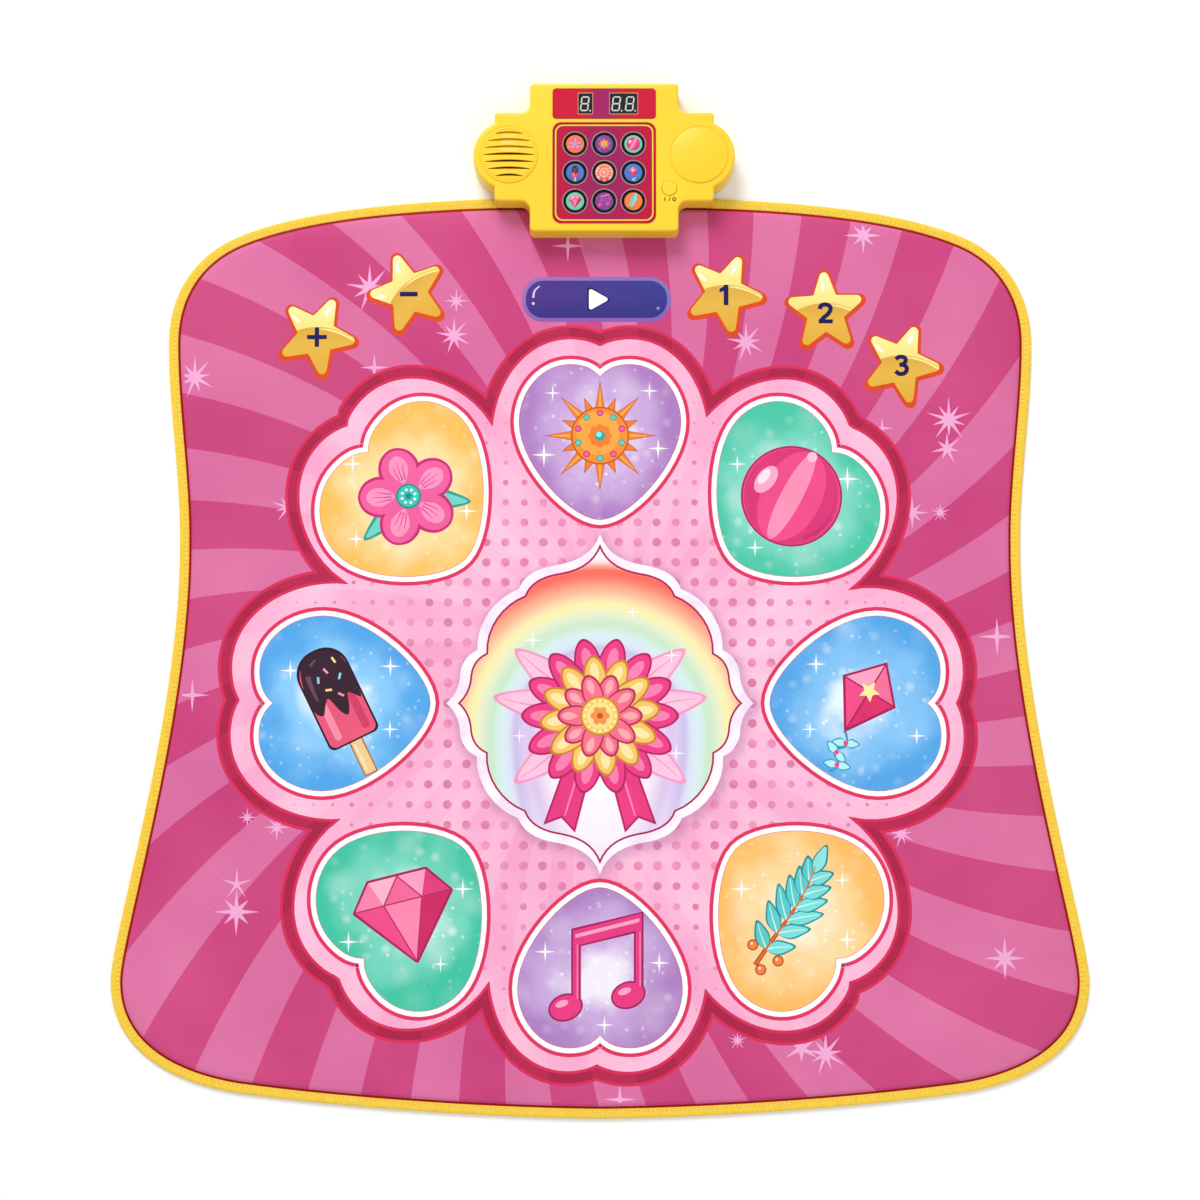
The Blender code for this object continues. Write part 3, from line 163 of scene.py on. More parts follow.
POWER_FLANGE = 0.0012
MARK_DROP = 0.0105

# The console's underside: the step over the mat, the battery bay, its door and the screws.
STEP = (CONSOLE_X, 0.3345, 0.32, 0.086)
STEP_Z = 0.0060
BAY_Y = 0.4225
BAY = (0.0577, 0.0462)
BAY_WALL = 0.0015
DOOR_LAP = 0.0012
DOOR_TAB = 0.0036
DOOR_SCREW = (CONSOLE_X, BAY_Y - BAY[1] / 2 - BAY_WALL - DOOR_TAB)
DOOR = (0.0004, 0.0017)
CLAMP_Y = 0.3430
CLAMP_SLOT = (0.1335, 0.0131)
CLAMP_SPOTS = [(CONSOLE_X + x, CLAMP_Y) for x in (-0.057, 0.0, 0.057)]
CASE_SPOTS = [(CONSOLE_X + x, y) for x, y in ((-0.0595, 0.4685), (0.0595, 0.4685), (-0.0945, 0.4395),
                                              (0.0945, 0.4395))]
CASE_POST = 0.0046
SCREW_POST = 0.0036
BORE = 0.0017

# The eight hearts: name, direction from the circle's middle in degrees, field width, field
# length, distance of the field's tip, and how the print is stretched across X and Y.
SQUARE = (1.0, 1.0)
DIAGONAL = (0.1625, 0.1390, 0.1738, 1.008, 1.09)
HEARTS = (
    ("pad_back", 90, 0.1500, 0.1452, 0.1700, *SQUARE), ("pad_back_right", 45, *DIAGONAL),
    ("pad_right", 0, 0.1608, 0.1570, 0.1562, *SQUARE), ("pad_front_right", -45, *DIAGONAL),
    ("pad_front", -90, 0.1500, 0.1445, 0.1687, *SQUARE), ("pad_front_left", -135, *DIAGONAL),
    ("pad_left", 180, 0.1608, 0.1570, 0.1562, *SQUARE), ("pad_back_left", 135, *DIAGONAL),
)

# The band's eight lobes: hearts too, in the same terms, which the band is grown from.
SLANTED = (1.01, 1.09)
LOBES = (
    (90.0, 0.1530, 0.1835, 0.1320, *SQUARE), (46.0, 0.1525, 0.1800, 0.1325, *SLANTED),
    (0.0, 0.1660, 0.1680, 0.1425, *SQUARE), (-46.0, 0.1505, 0.1745, 0.1340, *SLANTED),
    (-90.5, 0.1505, 0.1765, 0.1345, *SQUARE), (-135.5, 0.1495, 0.1630, 0.1490, *SLANTED),
    (179.5, 0.1700, 0.1915, 0.1240, *SQUARE), (134.5, 0.1485, 0.1590, 0.1565, *SLANTED),
)

# The five star keys: name, middle, the direction of one tip, and of the pale side, in degrees.
STARS = (
    ("key_plus", -0.2637, 0.2417, 64, 90), ("key_minus", -0.1784, 0.2823, 110, 136),
    ("key_one", 0.1163, 0.2815, 66, 92), ("key_two", 0.2104, 0.2644, 92, 90),
    ("key_three", 0.2806, 0.2150, 67, 90),
)

# Sparkles on the rays: middle, reach and number of points.
SPARKLES = (
    (-0.375, -0.092, 0.0140, 4), (-0.323, -0.204, 0.0080, 8), (-0.296, -0.213, 0.0110, 8),
    (-0.332, -0.265, 0.0135, 5), (-0.332, -0.290, 0.0190, 8), (0.246, 0.338, 0.0160, 8),
    (0.324, 0.164, 0.0195, 10), (0.322, 0.137, 0.0135, 7), (0.289, 0.077, 0.0140, 8),
    (0.315, 0.077, 0.0085, 10), (0.262, 0.156, 0.0095, 4), (0.366, -0.038, 0.0155, 4),
    (0.276, -0.219, 0.0120, 9), (0.369, -0.332, 0.0175, 8), (0.205, -0.418, 0.0180, 9),
    (0.183, -0.413, 0.0150, 6), (0.125, -0.406, 0.0085, 10), (0.018, -0.459, 0.0130, 4),
    (-0.030, 0.328, 0.0135, 4), (-0.215, 0.288, 0.0205, 9), (-0.134, 0.276, 0.0105, 8),
    (-0.136, 0.243, 0.0160, 9), (-0.377, 0.204, 0.0180, 9), (-0.210, 0.213, 0.0120, 4),
    (0.136, 0.237, 0.0170, 9), (-0.289, 0.082, 0.0140, 10),
)

# Faint sparkles on the dotted field.
FAINT_SPARKLES = ((-0.083, -0.277), (0.075, -0.273), (-0.0905, 0.081), (0.093, 0.079))


# Finishes.

def paint(code):
    """A linear colour from the six hex digits of a screen colour."""
    values = [int(code[i:i + 2], 16) / 255 for i in (0, 2, 4)]
    linear = [v / 12.92 if v <= 0.04045 else ((v + 0.055) / 1.055) ** 2.4 for v in values]
    return (*linear, 1.0)


def shade(code, factor):
    """A hex colour made lighter or darker."""
    return "".join(f"{min(255, round(int(code[i:i + 2], 16) * factor)):02X}" for i in (0, 2, 4))


class Value:
    """What a node of a finish gives, with the signs of arithmetic."""

    def __init__(self, finish, socket):
        self.finish = finish
        self.socket = socket

    def math(self, operation, *others, clamp=False):
        made = self.finish.node("Math", self, *others, operation=operation, use_clamp=clamp)
        return Value(self.finish, made.outputs[0])

    def __add__(self, other):
        return self.math("ADD", other)

    def __sub__(self, other):
        return self.math("SUBTRACT", other)

    def __mul__(self, other):
        return self.math("MULTIPLY", other)

    def wave(self, length):
        """A sine wave of some length along the value."""
        return (self * (math.tau / length)).math("SINE")

    def edge(self, steepness):
        """One where the value is above nought and nought below it, with a narrow step between."""
        return (self * steepness).math("ADD", 0.5, clamp=True)

    def level(self, low, high, bottom=0.0, top=1.0):
        """The value stretched from one range to another and kept inside it."""
        made = self.finish.node("MapRange", self, low, high, bottom, top)
        return Value(self.finish, made.outputs[0])

    def parts(self):
        made = self.finish.node("SeparateXYZ", self)
        return [Value(self.finish, socket) for socket in made.outputs[:3]]

    def length(self):
        made = self.finish.node("VectorMath", self, operation="LENGTH")
        return Value(self.finish, made.outputs["Value"])


def hypot(x, y):
    return (x * x + y * y).math("SQRT")


class Finish:
    """A procedural material, built node by node round one Principled shader."""

    def __init__(self, name, code="FFFFFF", roughness=0.5, **sockets):
        self.material = bpy.data.materials.new(name)
        self.material.use_nodes = True
        self.tree = self.material.node_tree
        self.shader = self.tree.nodes["Principled BSDF"]
        self.set(self.shader, Base_Color=paint(code), Roughness=roughness, **sockets)
        self.spot = Value(self, self.node("TexCoord").outputs["Object"])

    def node(self, kind, *sources, **settings):
        """A node whose inputs are fed in order, each from a number or another node's value."""
        made = self.tree.nodes.new("ShaderNode" + kind)
        for key, value in settings.items():
            setattr(made, key, value)
        for socket, source in zip(made.inputs, sources):
            self.feed(socket, source)
        return made

    def feed(self, socket, source):
        if isinstance(source, Value):
            self.tree.links.new(source.socket, socket)
        elif source is not None:
            socket.default_value = source

    def set(self, node, **sockets):
        """A node's inputs by their names, with _ for each space."""
        for key, source in sockets.items():
            self.feed(node.inputs[key.replace("_", " ")], source)
        return node

    def place(self, centre=(0.0, 0.0), turn=0.0, scale=(1.0, 1.0, 1.0)):
        """Coordinates centred on a spot, turned by degrees and scaled."""
        made = self.node("Mapping", self.spot, vector_type="TEXTURE")
        self.set(made, Location=(*centre, 0.0), Rotation=(0.0, 0.0, math.radians(turn)), Scale=scale)
        return Value(self, made.outputs[0])

    def noise(self, scale, detail=2.0, vector=None):
        made = self.set(self.node("TexNoise"), Vector=vector or self.spot, Scale=scale, Detail=detail)
        return Value(self, made.outputs["Fac"])

    def cells(self, scale, feature="F1"):
        """What a pattern of cells gives, by the names of its outputs."""
        made = self.set(self.node("TexVoronoi", feature=feature), Vector=self.spot, Scale=scale)
        return {socket.name: Value(self, socket) for socket in made.outputs}

    def ramp(self, factor, *stops, curve="LINEAR"):
        """Colours along a factor; each stop is a place and a hex colour."""
        made = self.node("ValToRGB", factor)
        band = made.color_ramp
        band.interpolation = curve
        while len(band.elements) < len(stops):
            band.elements.new(1.0)
        for element, (place, code) in zip(band.elements, stops):
            element.position = place
            element.color = paint(code)
        return Value(self, made.outputs["Color"])

    def mix(self, factor, first, second):
        made = self.node("Mix", data_type="RGBA")
        self.feed(made.inputs[0], factor)
        for socket, source in ((made.inputs[6], first), (made.inputs[7], second)):
            self.feed(socket, paint(source) if isinstance(source, str) else source)
        return Value(self, made.outputs[2])

    def cloudy(self, scale, detail, first, second, low=0.3, high=0.7):
        """A colour that drifts between two others in soft clouds."""
        return self.mix(self.noise(scale, detail).level(low, high), first, second)

    def color(self, source):
        self.feed(self.shader.inputs["Base Color"], source)
        return self

    def rough(self, source, low, high, top=0.7):
        """Roughness from low to high where a noise goes from 0.3 to its top."""
        self.feed(self.shader.inputs["Roughness"], source.level(0.3, top, low, high))
        return self

    def bump(self, height, distance, strength=1.0):
        made = self.set(self.node("Bump"), Height=height, Distance=distance, Strength=strength)
        old = self.shader.inputs["Normal"]
        if old.is_linked:
            self.tree.links.new(old.links[0].from_socket, made.inputs["Normal"])
        self.tree.links.new(made.outputs[0], old)
        return self

    def cloth(self, pitch=0.0007, depth=0.00004, soft=0.00025):
        """The material with the fine plain weave of printed polyester and its slight softness."""
        x, y, _ = self.spot.parts()
        self.bump(x.wave(pitch) * y.wave(pitch), depth, 0.5)
        self.bump(self.noise(60.0, 3.0), soft, 0.35)
        return self.material


def fabric(name, roughness=0.46, code="FFFFFF"):
    return Finish(name, code, roughness, Specular_IOR_Level=0.14, Sheen_Weight=0.03, Sheen_Roughness=0.5)


INKS = {}


def ink(code, roughness=0.46):
    """Printed colour on the cloth, a little uneven."""
    if code not in INKS:
        made = fabric("ink_" + code.lower(), roughness, code)
        made.color(made.cloudy(38.0, 4.0, shade(code, 0.975), shade(code, 1.012), 0.35, 0.65))
        INKS[code] = made.cloth()
    return INKS[code]


def ray_pattern(made):
    """One on the light rays and nought on the dark ones; they curl as they leave the middle."""
    x, y, _ = made.place(RAY_SPOT, scale=(1.0, 1 / RAY_SQUASH, 1.0)).parts()
    reach = hypot(x, y)
    curl = (reach - 0.4) * math.radians(RAY_CURL)
    turned = y.math("ARCTAN2", x) - curl - math.radians(RAY_TURN)
    return ((turned * (RAY_COUNT / math.tau)).wave(1.0) * reach).edge(300.0)


def ray_print():
    """Curling light and dark rays, cloudy as in water colour."""
    made = fabric("ray_print")
    cloud = made.noise(7.0, 3.0).level(0.30, 0.70)
    dusty = made.noise(3.1, 4.0).level(0.46, 0.66, 0.0, 0.42)
    light = made.mix(dusty, made.mix(cloud, "D26499", "DD76A6"), "D36B96")
    dark = made.mix(dusty, made.mix(cloud, "C33C77", "CF4D84"), "C24875")
    return made.color(made.mix(ray_pattern(made), dark, light)).cloth()


def band_core():
    """The dark middle of the band, through which the rays still show."""
    made = fabric("band_core")
    return made.color(made.mix(ray_pattern(made), "AA2148", "B6264F")).cloth()


def dotted_print():
    """Light pink field with a square grid of dots that shrink away from the middle."""
    made = fabric("dotted_print")
    local = made.place(CIRCLE)
    steps = []
    for value, pitch in zip(local.parts(), DOT_PITCH):
        cell = value * (1 / pitch)
        steps.append((cell - cell.math("ROUND")) * pitch)
    dot = (local.length().level(0.165, 0.305, *DOT_RADII) - hypot(*steps)).edge(6000.0)
    field = made.cloudy(9.0, 4.0, "F3A3C8", "FBC0DB", 0.36, 0.68)
    field = made.mix(ray_pattern(made) * 0.13, field, "FFE3F0")
    field = made.mix(dot, field, made.cloudy(52.0, 1.0, "DA7DA4", "EC96BB", 0.36, 0.64))
    shadow = Value(made, made.node("Attribute", attribute_name="shadow").outputs["Fac"])
    return made.color(made.mix(shadow, field, made.mix(0.50, field, "B274A8"))).cloth()


def heart_field(name, centre, edge, middle, bright, size=1.0, glows=()):
    """A glowing field: light clouds round the middle, blurred white spots and the glints' halos."""
    made = fabric(name, 0.44)
    drift = made.noise(21.0 / size, 4.0) - 0.5
    away = made.place(centre).length() + drift * (0.075 * size)
    share = away.level(0.010 * size, 0.080 * size)
    body = made.ramp(share, (0.0, bright), (0.45, middle), (1.0, edge), curve="EASE")
    for x, y, reach in glows:
        halo = made.place((x, y)).length().level(reach, 0.0, 0.0, 0.75)
        body = made.mix(halo.math("POWER", 1.6), body, "FFFFFF")
    for scale, reach, amount in ((30.0, 0.52, 0.34), (62.0, 0.36, 0.50), (120.0, 0.26, 0.85)):
        cells = made.cells(scale / size)
        distance, chance = cells["Distance"], cells["Color"].parts()[0]
        spot = distance.level(reach, 0.02) * chance.math("GREATER_THAN", 0.60) * amount
        body = made.mix(spot * share.level(1.25, 0.25), body, "FFFFFF")
    return made.color(body).cloth()


def rainbow():
    """Soft coloured rings round a spot under the middle, paler towards the front."""
    made = fabric("rainbow_rings", 0.44)
    across, up, _ = made.place((CIRCLE[0], RAINBOW_Y)).parts()
    high = up.math("MAXIMUM", 0.0) + up.math("MINIMUM", 0.0) * 0.5
    rings = made.ramp(
        hypot(across, high).level(0.0, 0.170),
        (0.0, "FFFFFF"), (0.29, "F4EAF4"), (0.34, "E5D2EB"), (0.37, "D9C2E7"), (0.41, "DCC8EC"),
        (0.46, "C8BDE4"), (0.49, "DCDCEF"), (0.52, "D4E8F2"), (0.55, "D3EAE5"), (0.585, "C8E6C6"),
        (0.61, "CDE6C8"), (0.64, "E2E9CC"), (0.68, "F0EDB4"), (0.71, "F7E8AC"), (0.74, "FAD2A6"),
        (0.77, "FCB796"), (0.80, "FDA489"), (0.83, "FD8673"), (0.865, "FD6C5C"), (0.885, "FD6E60"),
        (0.91, "FCA79C"), (0.93, "FCDAD6"), (0.95, "FBF2F4"), (0.99, "FBF6FA"),
    )
    return made.color(made.mix(up.level(-0.052, -0.118, 0.0, 0.45), rings, "F4F2FC")).cloth()


def soft_white(name="soft_white", pale="FFFFFF", cloud="FDF6FC"):
    """White print with a faint cloud."""
    made = fabric(name, 0.44)
    return made.color(made.cloudy(40.0, 3.0, pale, cloud, 0.42, 0.62)).cloth()


def star_gold(name, x, y, turn):
    """Gold star print: pale above a curved double line, deeper gold below."""
    made = fabric(name, 0.40)
    across, up, _ = made.place((x, y), turn).parts()
    height = up - (across * across * -9.5 + 0.0095)
    pale = made.ramp(up.level(0.002, 0.036), (0.0, "F1DC78"), (0.45, "F4E78E"), (1.0, "FBF3B8"))
    gold = made.ramp(up.level(-0.034, 0.010), (0.0, "E0A93A"), (0.6, "E4B448"), (1.0, "D9A642"))
    sliver = (height + 0.0016).math("ABSOLUTE").level(0.0011, 0.0005)
    gold = made.mix(sliver * across.level(-0.006, 0.012), gold, "FBEFA0")
    return made.color(made.mix(height.edge(4000.0), gold, pale)).cloth()


def start_body(name, low, left, right):
    """The long key's violet, bluer towards the right."""
    made = fabric(name, 0.40)
    x, y, _ = made.place(START).parts()
    body = made.ramp(x.level(-0.070, 0.070), (0.0, left), (1.0, right))
    return made.color(made.mix(y.level(0.004, -0.026), body, low)).cloth()


def tape_cloth(seam):
    """Yellow binding tape: a fine twill that follows the edge, pressed in along the seam, with painted
    highlight on the raised threads and painted shade along the seam.
    """
    made = Finish("tape_cloth", roughness=0.72, Sheen_Weight=0.2, Sheen_Roughness=0.4,
                  Specular_IOR_Level=0.3)
    along, across, _ = Value(made, made.node("UVMap", uv_map="tape").outputs[0]).parts()
    weave = (along + across).wave(0.0011) + (along - across).wave(0.0008) * 0.4
    base = made.cloudy(260.0, 3.0, "F1BF1E", "F9D238")
    # Painted highlight: where the weave's threads are raised, the colour is mixed towards a lighter yellow.
    base = made.mix(weave.level(-1.4, 1.4, 0.0, 0.4), base, "FFE063")
    apart = (across - seam).math("ABSOLUTE")
    # Painted shade: along the pressed-in seam the colour is mixed towards a darker yellow.
    made.color(made.mix(apart.level(0.0013, 0.0004) * 0.30, base, "E2AA18"))
    made.bump(weave, 0.00006, 0.9)
    return made.bump(along.wave(STITCH_PITCH) * apart.level(0.0035, 0.0), 0.00022, 0.8).material


def thread():
    """Light yellow sewing thread, with its twist."""
    made = Finish("thread", "FFDF6A", 0.6, Sheen_Weight=0.3)
    made.color(made.cloudy(900.0, 1.0, "FBE070", "FFF09C"))
    return made.bump(made.noise(2500.0, 1.0), 0.00004).material


def shell_plastic(name, code, roughness=0.34):
    """Moulded plastic with a faint spark-eroded grain and a little unevenness."""
    made = Finish(name, code, roughness, Specular_IOR_Level=0.3, Coat_Weight=0.05, Coat_Roughness=0.25,
                  Subsurface_Weight=0.04, Subsurface_Radius=(0.004, 0.003, 0.001))
    made.color(made.cloudy(14.0, 3.0, shade(code, 0.985), shade(code, 1.01)))
    made.rough(made.noise(55.0, 4.0), roughness - 0.04, roughness + 0.06)
    return made.bump(made.noise(2600.0, 2.0), 0.000012, 0.5).material


def label_print(name, inner, side, centre, reach):
    """Gloss printed label: crimson, and purple round one spot."""
    made = Finish(name, roughness=0.25, Specular_IOR_Level=0.2, Coat_Weight=0.1, Coat_Roughness=0.1)
    share = made.place(centre, scale=(*reach, 1.0)).length() + made.noise(40.0) * 0.05
    made.color(made.ramp(share, (0.0, inner), (0.42, shade(inner, 1.04)), (0.90, side), (1.0, side)))
    return made.bump(made.noise(700.0, 2.0), 0.00001, 0.4).material


def gloss(name, code, roughness=0.2, **sockets):
    """Plain glossy moulding or enamel, with fine unevenness and faint handling marks."""
    made = Finish(name, code, roughness, **sockets)
    made.color(made.cloudy(120.0, 4.0, shade(code, 0.93), shade(code, 1.04)))
    return made.rough(made.noise(240.0, 5.0), roughness * 0.8, roughness * 1.35, 0.75).material


def metal(name, code, roughness=0.3):
    """Plated metal with short brushed marks."""
    made = Finish(name, code, roughness, Metallic=1.0)
    grain = made.noise(400.0, 4.0, made.place(scale=(0.08, 1.0, 1.0)))
    made.color(made.mix(grain.level(0.3, 0.7), shade(code, 0.86), code))
    return made.rough(grain, roughness * 0.8, roughness * 1.3).bump(grain, 0.00001, 0.4).material


def rubber_cloth():
    """The dark anti-slip underside: open weave coated with soft rubber."""
    made = Finish("rubber_cloth", "3A3A3E", 0.85, Sheen_Weight=0.1)
    x, y, _ = made.spot.parts()
    made.color(made.cloudy(30.0, 5.0, "333337", "424247"))
    return made.bump(x.wave(0.0016) * y.wave(0.0016), 0.00012, 0.7).material


def foam():
    """White open-cell foam."""
    made = Finish("foam", "E9E7DF", 0.9)
    made.color(made.cloudy(500.0, 3.0, "DEDBD0", "F1EFE8"))
    return made.bump(made.noise(900.0, 3.0), 0.0002).material


def clear_film():
    """Milky film with grey printed tracks."""
    made = Finish("clear_film", "C9CFCB", 0.28, Coat_Weight=0.3)
    x, _, _ = made.spot.parts()
    track = (x * 420.0).math("SINE").math("GREATER_THAN", 0.8)
    made.color(made.mix(track, "CDD3CF", "8F9496"))
    return made.rough(made.noise(120.0), 0.22, 0.36).material


def board_green():
    """Green solder mask with copper tracks under it."""
    made = Finish("board_green", "0F5A2C", 0.35, Coat_Weight=0.3)
    distance = made.cells(320.0, "DISTANCE_TO_EDGE")["Distance"]
    made.color(made.mix(distance.math("LESS_THAN", 0.09), "0E5227", "1D7A3C"))
    return made.bump(distance, 0.00003, 0.3).material


def paper_cone():
    """Black pressed paper."""
    made = Finish("paper_cone", "141416", 0.85)
    made.color(made.mix(made.noise(600.0, 4.0), "0D0D0F", "1E1E21"))
    return made.bump(made.noise(1500.0, 3.0), 0.00006).material


def cell_sleeve():
    """Shrunk plastic sleeve of a cell: dark with a copper band at one end."""
    made = Finish("cell_sleeve", "3C3F48", 0.25, Metallic=0.4, Coat_Weight=0.5)
    x, _, _ = made.place((CONSOLE_X, 0.0)).parts()
    copper = x.math("ABSOLUTE").math("GREATER_THAN", 0.0165)
    made.color(made.mix(copper, "34373F", "B5793A"))
    return made.rough(made.noise(200.0), 0.18, 0.34).material


# Outlines. A loop is a list of (x, y) that runs anticlockwise.

def bezier(start, lead, trail, end, steps):
    """Points of a cubic curve, without its last one."""
    points = []
    for index in range(steps):
        t = index / steps
        s = 1.0 - t
        points.append(tuple(
            s ** 3 * a + 3 * s * s * t * b + 3 * s * t * t * c + t ** 3 * d
            for a, b, c, d in zip(start, lead, trail, end)
        ))
    return points


def unit(rows):
    return rows / np.linalg.norm(rows, axis=1)[:, None]


def inset(loop, distance):
    """The loop moved inwards by a distance, each corner along its mitre."""
    here = np.array(loop, float)
    ahead = unit(np.roll(here, -1, axis=0) - here)
    behind = np.roll(ahead, 1, axis=0)
    normal = unit(np.stack((-ahead[:, 1] - behind[:, 1], ahead[:, 0] + behind[:, 0]), axis=1))
    reach = np.maximum(0.35, -normal[:, 0] * behind[:, 1] + normal[:, 1] * behind[:, 0])
    return [tuple(point) for point in here + normal * (distance / reach)[:, None]]


def rounded(corners, steps=3):
    """A polygon of (x, y, radius) corners with an arc at each corner that has a radius."""
    loop = []
    for index, (x, y, radius) in enumerate(corners):
        if radius == 0.0:
            loop.append((x, y))
            continue
        here = Vector((x, y))
        to_last = (Vector(corners[index - 1][:2]) - here).normalized()
        to_next = (Vector(corners[(index + 1) % len(corners)][:2]) - here).normalized()
        half = to_last.angle(to_next) / 2
        centre = here + (to_last + to_next).normalized() * (radius / math.sin(half))
        start = here + to_last * (radius / math.tan(half)) - centre
        sweep = start.angle_signed(here + to_next * (radius / math.tan(half)) - centre)
        for step in range(steps + 1):
            loop.append(tuple(centre + Matrix.Rotation(-sweep * step / steps, 2) @ start))
    return loop


def moved(loop, centre=(0.0, 0.0), turn=0.0, size=1.0):
    """The loop scaled, turned by degrees and then moved."""
    cos, sin = math.cos(math.radians(turn)) * size, math.sin(math.radians(turn)) * size
    return [(centre[0] + cos * x - sin * y, centre[1] + sin * x + cos * y) for x, y in loop]


def ellipse(x, y, wide, high, turn=0.0, steps=40):
    loop = [(wide * math.cos(math.tau * i / steps), high * math.sin(math.tau * i / steps))
            for i in range(steps)]
    return moved(loop, (x, y), turn)


def circle(x, y, radius, steps=48):
    return ellipse(x, y, radius, radius, 0.0, steps)


def rectangle(x, y, width, length, corner=0.0, steps=8):
    return rounded([(x + sx * width / 2, y + sy * length / 2, corner)
                    for sx, sy in ((1, -1), (1, 1), (-1, 1), (-1, -1))], steps)


def flow(points, steps=6, closed=True):
    """A smooth curve through points."""
    count = len(points)
    made = []
    for index in range(count if closed else count - 1):
        near = [points[(index + k) % count] if closed else points[min(max(index + k, 0), count - 1)]
                for k in (-1, 0, 1, 2)]
        for step in range(steps):
            t = step / steps
            weights = (-0.5 * t + t * t - 0.5 * t ** 3, 1 - 2.5 * t * t + 1.5 * t ** 3,
                       0.5 * t + 2 * t * t - 1.5 * t ** 3, -0.5 * t * t + 0.5 * t ** 3)
            made.append(tuple(sum(w * p[axis] for w, p in zip(weights, near)) for axis in (0, 1)))
    return made if closed else made + [points[-1]]


def sideways(line):
    """The unit vectors to the right of a line, one at each of its points."""
    ahead = unit(np.gradient(line, axis=0))
    return np.stack((ahead[:, 1], -ahead[:, 0]), axis=1)


def stroke(points, width, tail=1.0, steps=6):
    """A drawn line of some width along points; tail is the share of it left at the end."""
    line = np.array(flow(points, steps, closed=False), float)
    side = sideways(line) * np.linspace(1.0, tail, len(line))[:, None] * width / 2
    return [tuple(p) for p in np.concatenate((line + side, (line - side)[::-1]))]


def bar(x, y, width, length, turn=0.0):
    return moved(rectangle(0.0, 0.0, width, length, min(width, length) * 0.12, 3), (x, y), turn)


def spark(x, y, reach, points=4, waist=0.13):
    """A glint with long thin points; where there are many, every second one is shorter."""
    loop = []
    for index in range(points * 2):
        long = 1.0 if points < 6 or index % 4 == 0 else 0.74
        radius = reach * (long if index % 2 == 0 else waist)
        angle = math.radians(90.0 + 180 * index / points)
        loop.append((x + radius * math.cos(angle), y + radius * math.sin(angle)))
    return loop


def mat_outline(steps=40):
    """The mat's edge: a shallow curved front, a waist and round back shoulders."""
    front = (0.0, FRONT_Y)
    front_turn = (FRONT_HALF_WIDTH * 0.739, FRONT_Y + 0.023)
    wide = (FRONT_HALF_WIDTH, FRONT_CORNER_Y)
    waist = (WAIST_HALF_WIDTH, WAIST_Y)
    shoulder = (BACK_HALF_WIDTH, BACK_CORNER_Y)
    back_turn = (BACK_HALF_WIDTH * 0.846, MAT_BACK_Y - 0.0385)
    back = (0.0, MAT_BACK_Y)
    flat = (back_turn[0] - 0.15, 0.0)
    spans = (
        (front, (0.10, 0.001), (-0.10, -0.0135), front_turn),
        (front_turn, (0.065, 0.0105), (0.0, -0.06), wide),
        (wide, (0.0, 0.042), (-0.003, -0.158), waist),
        (waist, (0.0, 0.062), (0.0, -0.058), shoulder),
        (shoulder, (0.0, 0.05), (0.035, -0.0155), back_turn),
        (back_turn, (-0.055, 0.024), flat, back),
    )
    half = []
    for start, lead, trail, end in spans:
        first = (start[0] + lead[0], start[1] + lead[1])
        half += bezier(start, first, (end[0] + trail[0], end[1] + trail[1]), end, steps)
    return half + [back] + [(-x, y) for x, y in reversed(half[1:])]


def heart_half(width, length, steps=14):
    """The right half of a heart that stands on its tip, from the tip to the notch."""
    half = width / 2
    side = (half, 0.627 * length)
    lobe = (0.375 * half, length)
    notch = (0.0, 0.919 * length)
    points = bezier((0.0, 0.0), (0.36 * half, 0.0), (half, 0.36 * length), side, steps)
    points += bezier(side, (half, 0.83 * length), (0.72 * half, length), lobe, steps)
    points += bezier(lobe, (0.20 * half, length), (0.09 * half, 0.975 * length), notch, steps)
    return points + [notch]


def on_circle(point, direction, distance, stretch_x, stretch_y):
    """A heart's point, turned and moved out from the circle's middle and stretched with the print."""
    turn = math.radians(direction - 90)
    out = point[1] + distance
    return (CIRCLE[0] + stretch_x * (math.cos(turn) * point[0] - math.sin(turn) * out),
            CIRCLE[1] + stretch_y * (math.sin(turn) * point[0] + math.cos(turn) * out))


def heart(direction, width, length, *place):
    """A heart field whose tip points at the circle's middle."""
    right = heart_half(width, length)
    loop = right + [(-x, y) for x, y in reversed(right[1:-1])]
    return [on_circle(point, direction, *place) for point in loop]


def soft_step(value, low, high):
    share = np.clip((value - low) / (high - low), 0.0, 1.0)
    return share * share * (3 - 2 * share)


def reach_of(half, angle):
    """How far from the circle's middle a ray at an angle last crosses half a heart."""
    cos, sin = math.cos(angle), math.sin(angle)
    along = half[:, 0] * cos + half[:, 1] * sin
    across = half[:, 1] * cos - half[:, 0] * sin
    hits = np.nonzero((across[:-1] > 0) != (across[1:] > 0))[0]
    share = across[hits] / (across[hits] - across[hits + 1])
    return max([0.0, *(along[hits] + share * (along[hits + 1] - along[hits]))])


def meeting(left, right, low, high):
    """The direction between two others in which two halves reach equally far."""
    for _ in range(40):
        middle = (low + high) / 2
        if reach_of(left, middle) > reach_of(right, middle):
            low = middle
        else:
            high = middle
    return low


